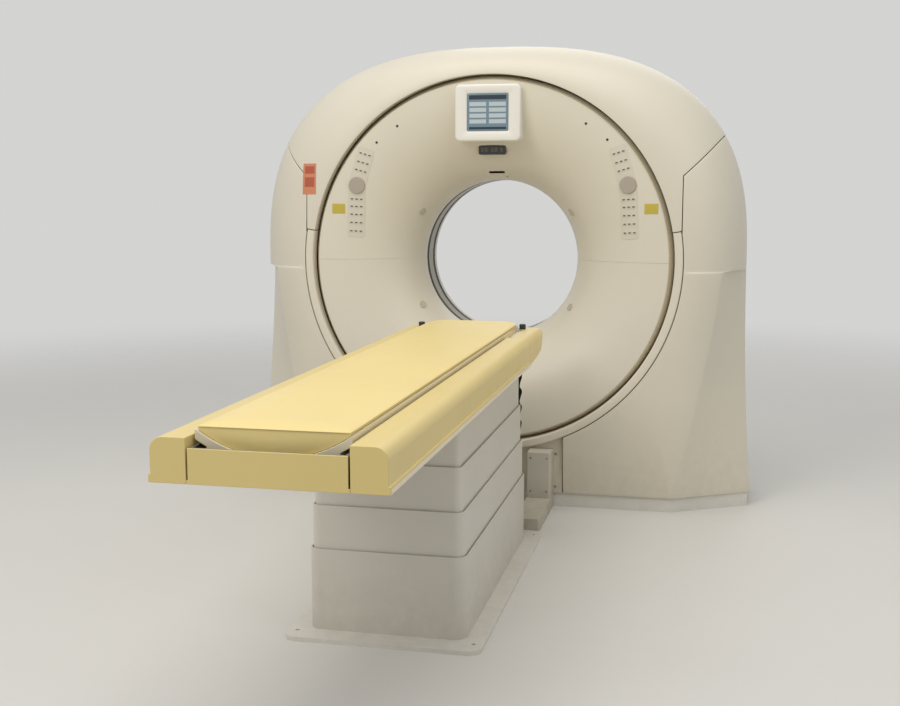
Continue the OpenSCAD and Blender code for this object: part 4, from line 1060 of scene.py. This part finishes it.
def piping():
    """The welded seam round the pad's upper edge, a thin round bead."""
    points = [(s * pad_plan(y), y) for s, ys in ((1, np.linspace(pad_low[1], pad_high[1], 160)),
                                                 (-1, np.linspace(pad_high[1], pad_low[1], 160))) for y in ys]
    bm = bmesh.new()
    rings = []
    for i, (x, y) in enumerate(points):
        way = (Vector(points[(i + 1) % len(points)]) - Vector(points[i - 1])).normalized()
        aside = Vector((-way.y, way.x))
        rings.append([bm.verts.new((x + aside.x * BEAD_R * math.cos(a), y + aside.y * BEAD_R * math.cos(a),
                                    PAD_TOP - BEAD_DOWN + BEAD_R * math.sin(a)))
                      for a in np.radians(np.arange(0, 360, 45))])
    join_rings(bm, rings + rings[:1])
    bmesh.ops.recalc_face_normals(bm, faces=bm.faces)
    return piece_from(bm, "mattress_seam")


dress(smooth(piping(), 60), vinyl, "cradle_body")

# Studio: a plain pale floor that fades into the backdrop, soft even light and the camera at the
# photograph's viewing angle.
FLOOR_HALF, FADE_FROM, FADE_TO = 14, 1.8, 8.0
floor_mesh = bpy.data.meshes.new("floor")
corners = [(x * FLOOR_HALF, y * FLOOR_HALF, 0) for x, y in ((-1, -1), (1, -1), (1, 1), (-1, 1))]
floor_mesh.from_pydata(corners, [], [(0, 1, 2, 3)])
floor = add_piece("floor", floor_mesh)
floor_pale = plastic("floor_pale", (214, 212, 206), rough=0.6, tone=0.02, bump=0.0)
floor.data.materials.append(floor_pale)
tree = floor_pale.node_tree
reach = tree.nodes.new("ShaderNodeVectorMath")
reach.operation = "LENGTH"
tree.links.new(tree.nodes.new("ShaderNodeTexCoord").outputs["Object"], reach.inputs[0])
fade = tree.nodes.new("ShaderNodeMapRange")
fade.interpolation_type = "SMOOTHSTEP"
fade.inputs["From Min"].default_value = FADE_FROM
fade.inputs["From Max"].default_value = FADE_TO
tree.links.new(reach.outputs["Value"], fade.inputs["Value"])


def mix_shaders(tree, share, first, second, output):
    """Mixes two shaders by a share and joins the result to the tree's output."""
    mixed = tree.nodes.new("ShaderNodeMixShader")
    for socket, value in zip(mixed.inputs, (share, first, second)):
        tree.links.new(value, socket)
    tree.links.new(mixed.outputs[0], tree.nodes[output].inputs["Surface"])


mix_shaders(tree, fade.outputs["Result"], tree.nodes["Principled BSDF"].outputs[0],
            tree.nodes.new("ShaderNodeBsdfTransparent").outputs[0], "Material Output")

scene = bpy.context.scene
scene.view_settings.view_transform = "Standard"
world = bpy.data.worlds.new("studio")
world.use_nodes = True
tree = world.node_tree
glow, backdrop = tree.nodes["Background"], tree.nodes.new("ShaderNodeBackground")
for light, colour, strength in ((glow, (0.98, 0.98, 1.0, 1), 0.42), (backdrop, (0.99, 0.99, 0.98, 1), 0.66)):
    light.inputs["Color"].default_value = colour
    light.inputs["Strength"].default_value = strength
path = tree.nodes.new("ShaderNodeLightPath")
seen = math_node(tree, "ADD", path.outputs["Is Camera Ray"], path.outputs["Is Glossy Ray"])
seen = math_node(tree, "ADD", seen, path.outputs["Is Transmission Ray"], clamp=True)
mix_shaders(tree, seen, glow.outputs[0], backdrop.outputs[0], "World Output")
scene.world = world


def lamp(name, place, target, size, power, colour=(1, 1, 1)):
    light = bpy.data.lights.new(name, "AREA")
    light.size = size
    light.energy = power
    light.color = colour
    piece = bpy.data.objects.new(name, light)
    piece.location = place
    piece.rotation_euler = (Vector(target) - Vector(place)).to_track_quat("-Z", "Y").to_euler()
    scene.collection.objects.link(piece)


WARM_WHITE = (1, 0.98, 0.95)
lamp("ceiling", (0.0, -2.4, 5.6), (0, -1.0, 0.9), 5.0, 150, WARM_WHITE)
lamp("key", (-2.6, -5.4, 4.4), (0, -0.8, 0.9), 3.0, 95, WARM_WHITE)
lamp("fill", (4.5, -3.5, 3.4), (0, -0.8, 0.9), 3.0, 32)
lamp("back", (0.5, 4.5, 4.4), (0, 0, 1.2), 4.0, 45)

CAMERA_PLACE, LOOKS_DOWN, LOOKS_LEFT = (0.968, -5.490, 1.371), 7.7, 12.6
camera = bpy.data.objects.new("camera", bpy.data.cameras.new("camera"))
camera.location = CAMERA_PLACE
camera.rotation_euler = (math.radians(90 - LOOKS_DOWN), 0, math.radians(LOOKS_LEFT))
camera.data.lens = 48
camera.data.sensor_width = 36
scene.collection.objects.link(camera)
scene.camera = camera
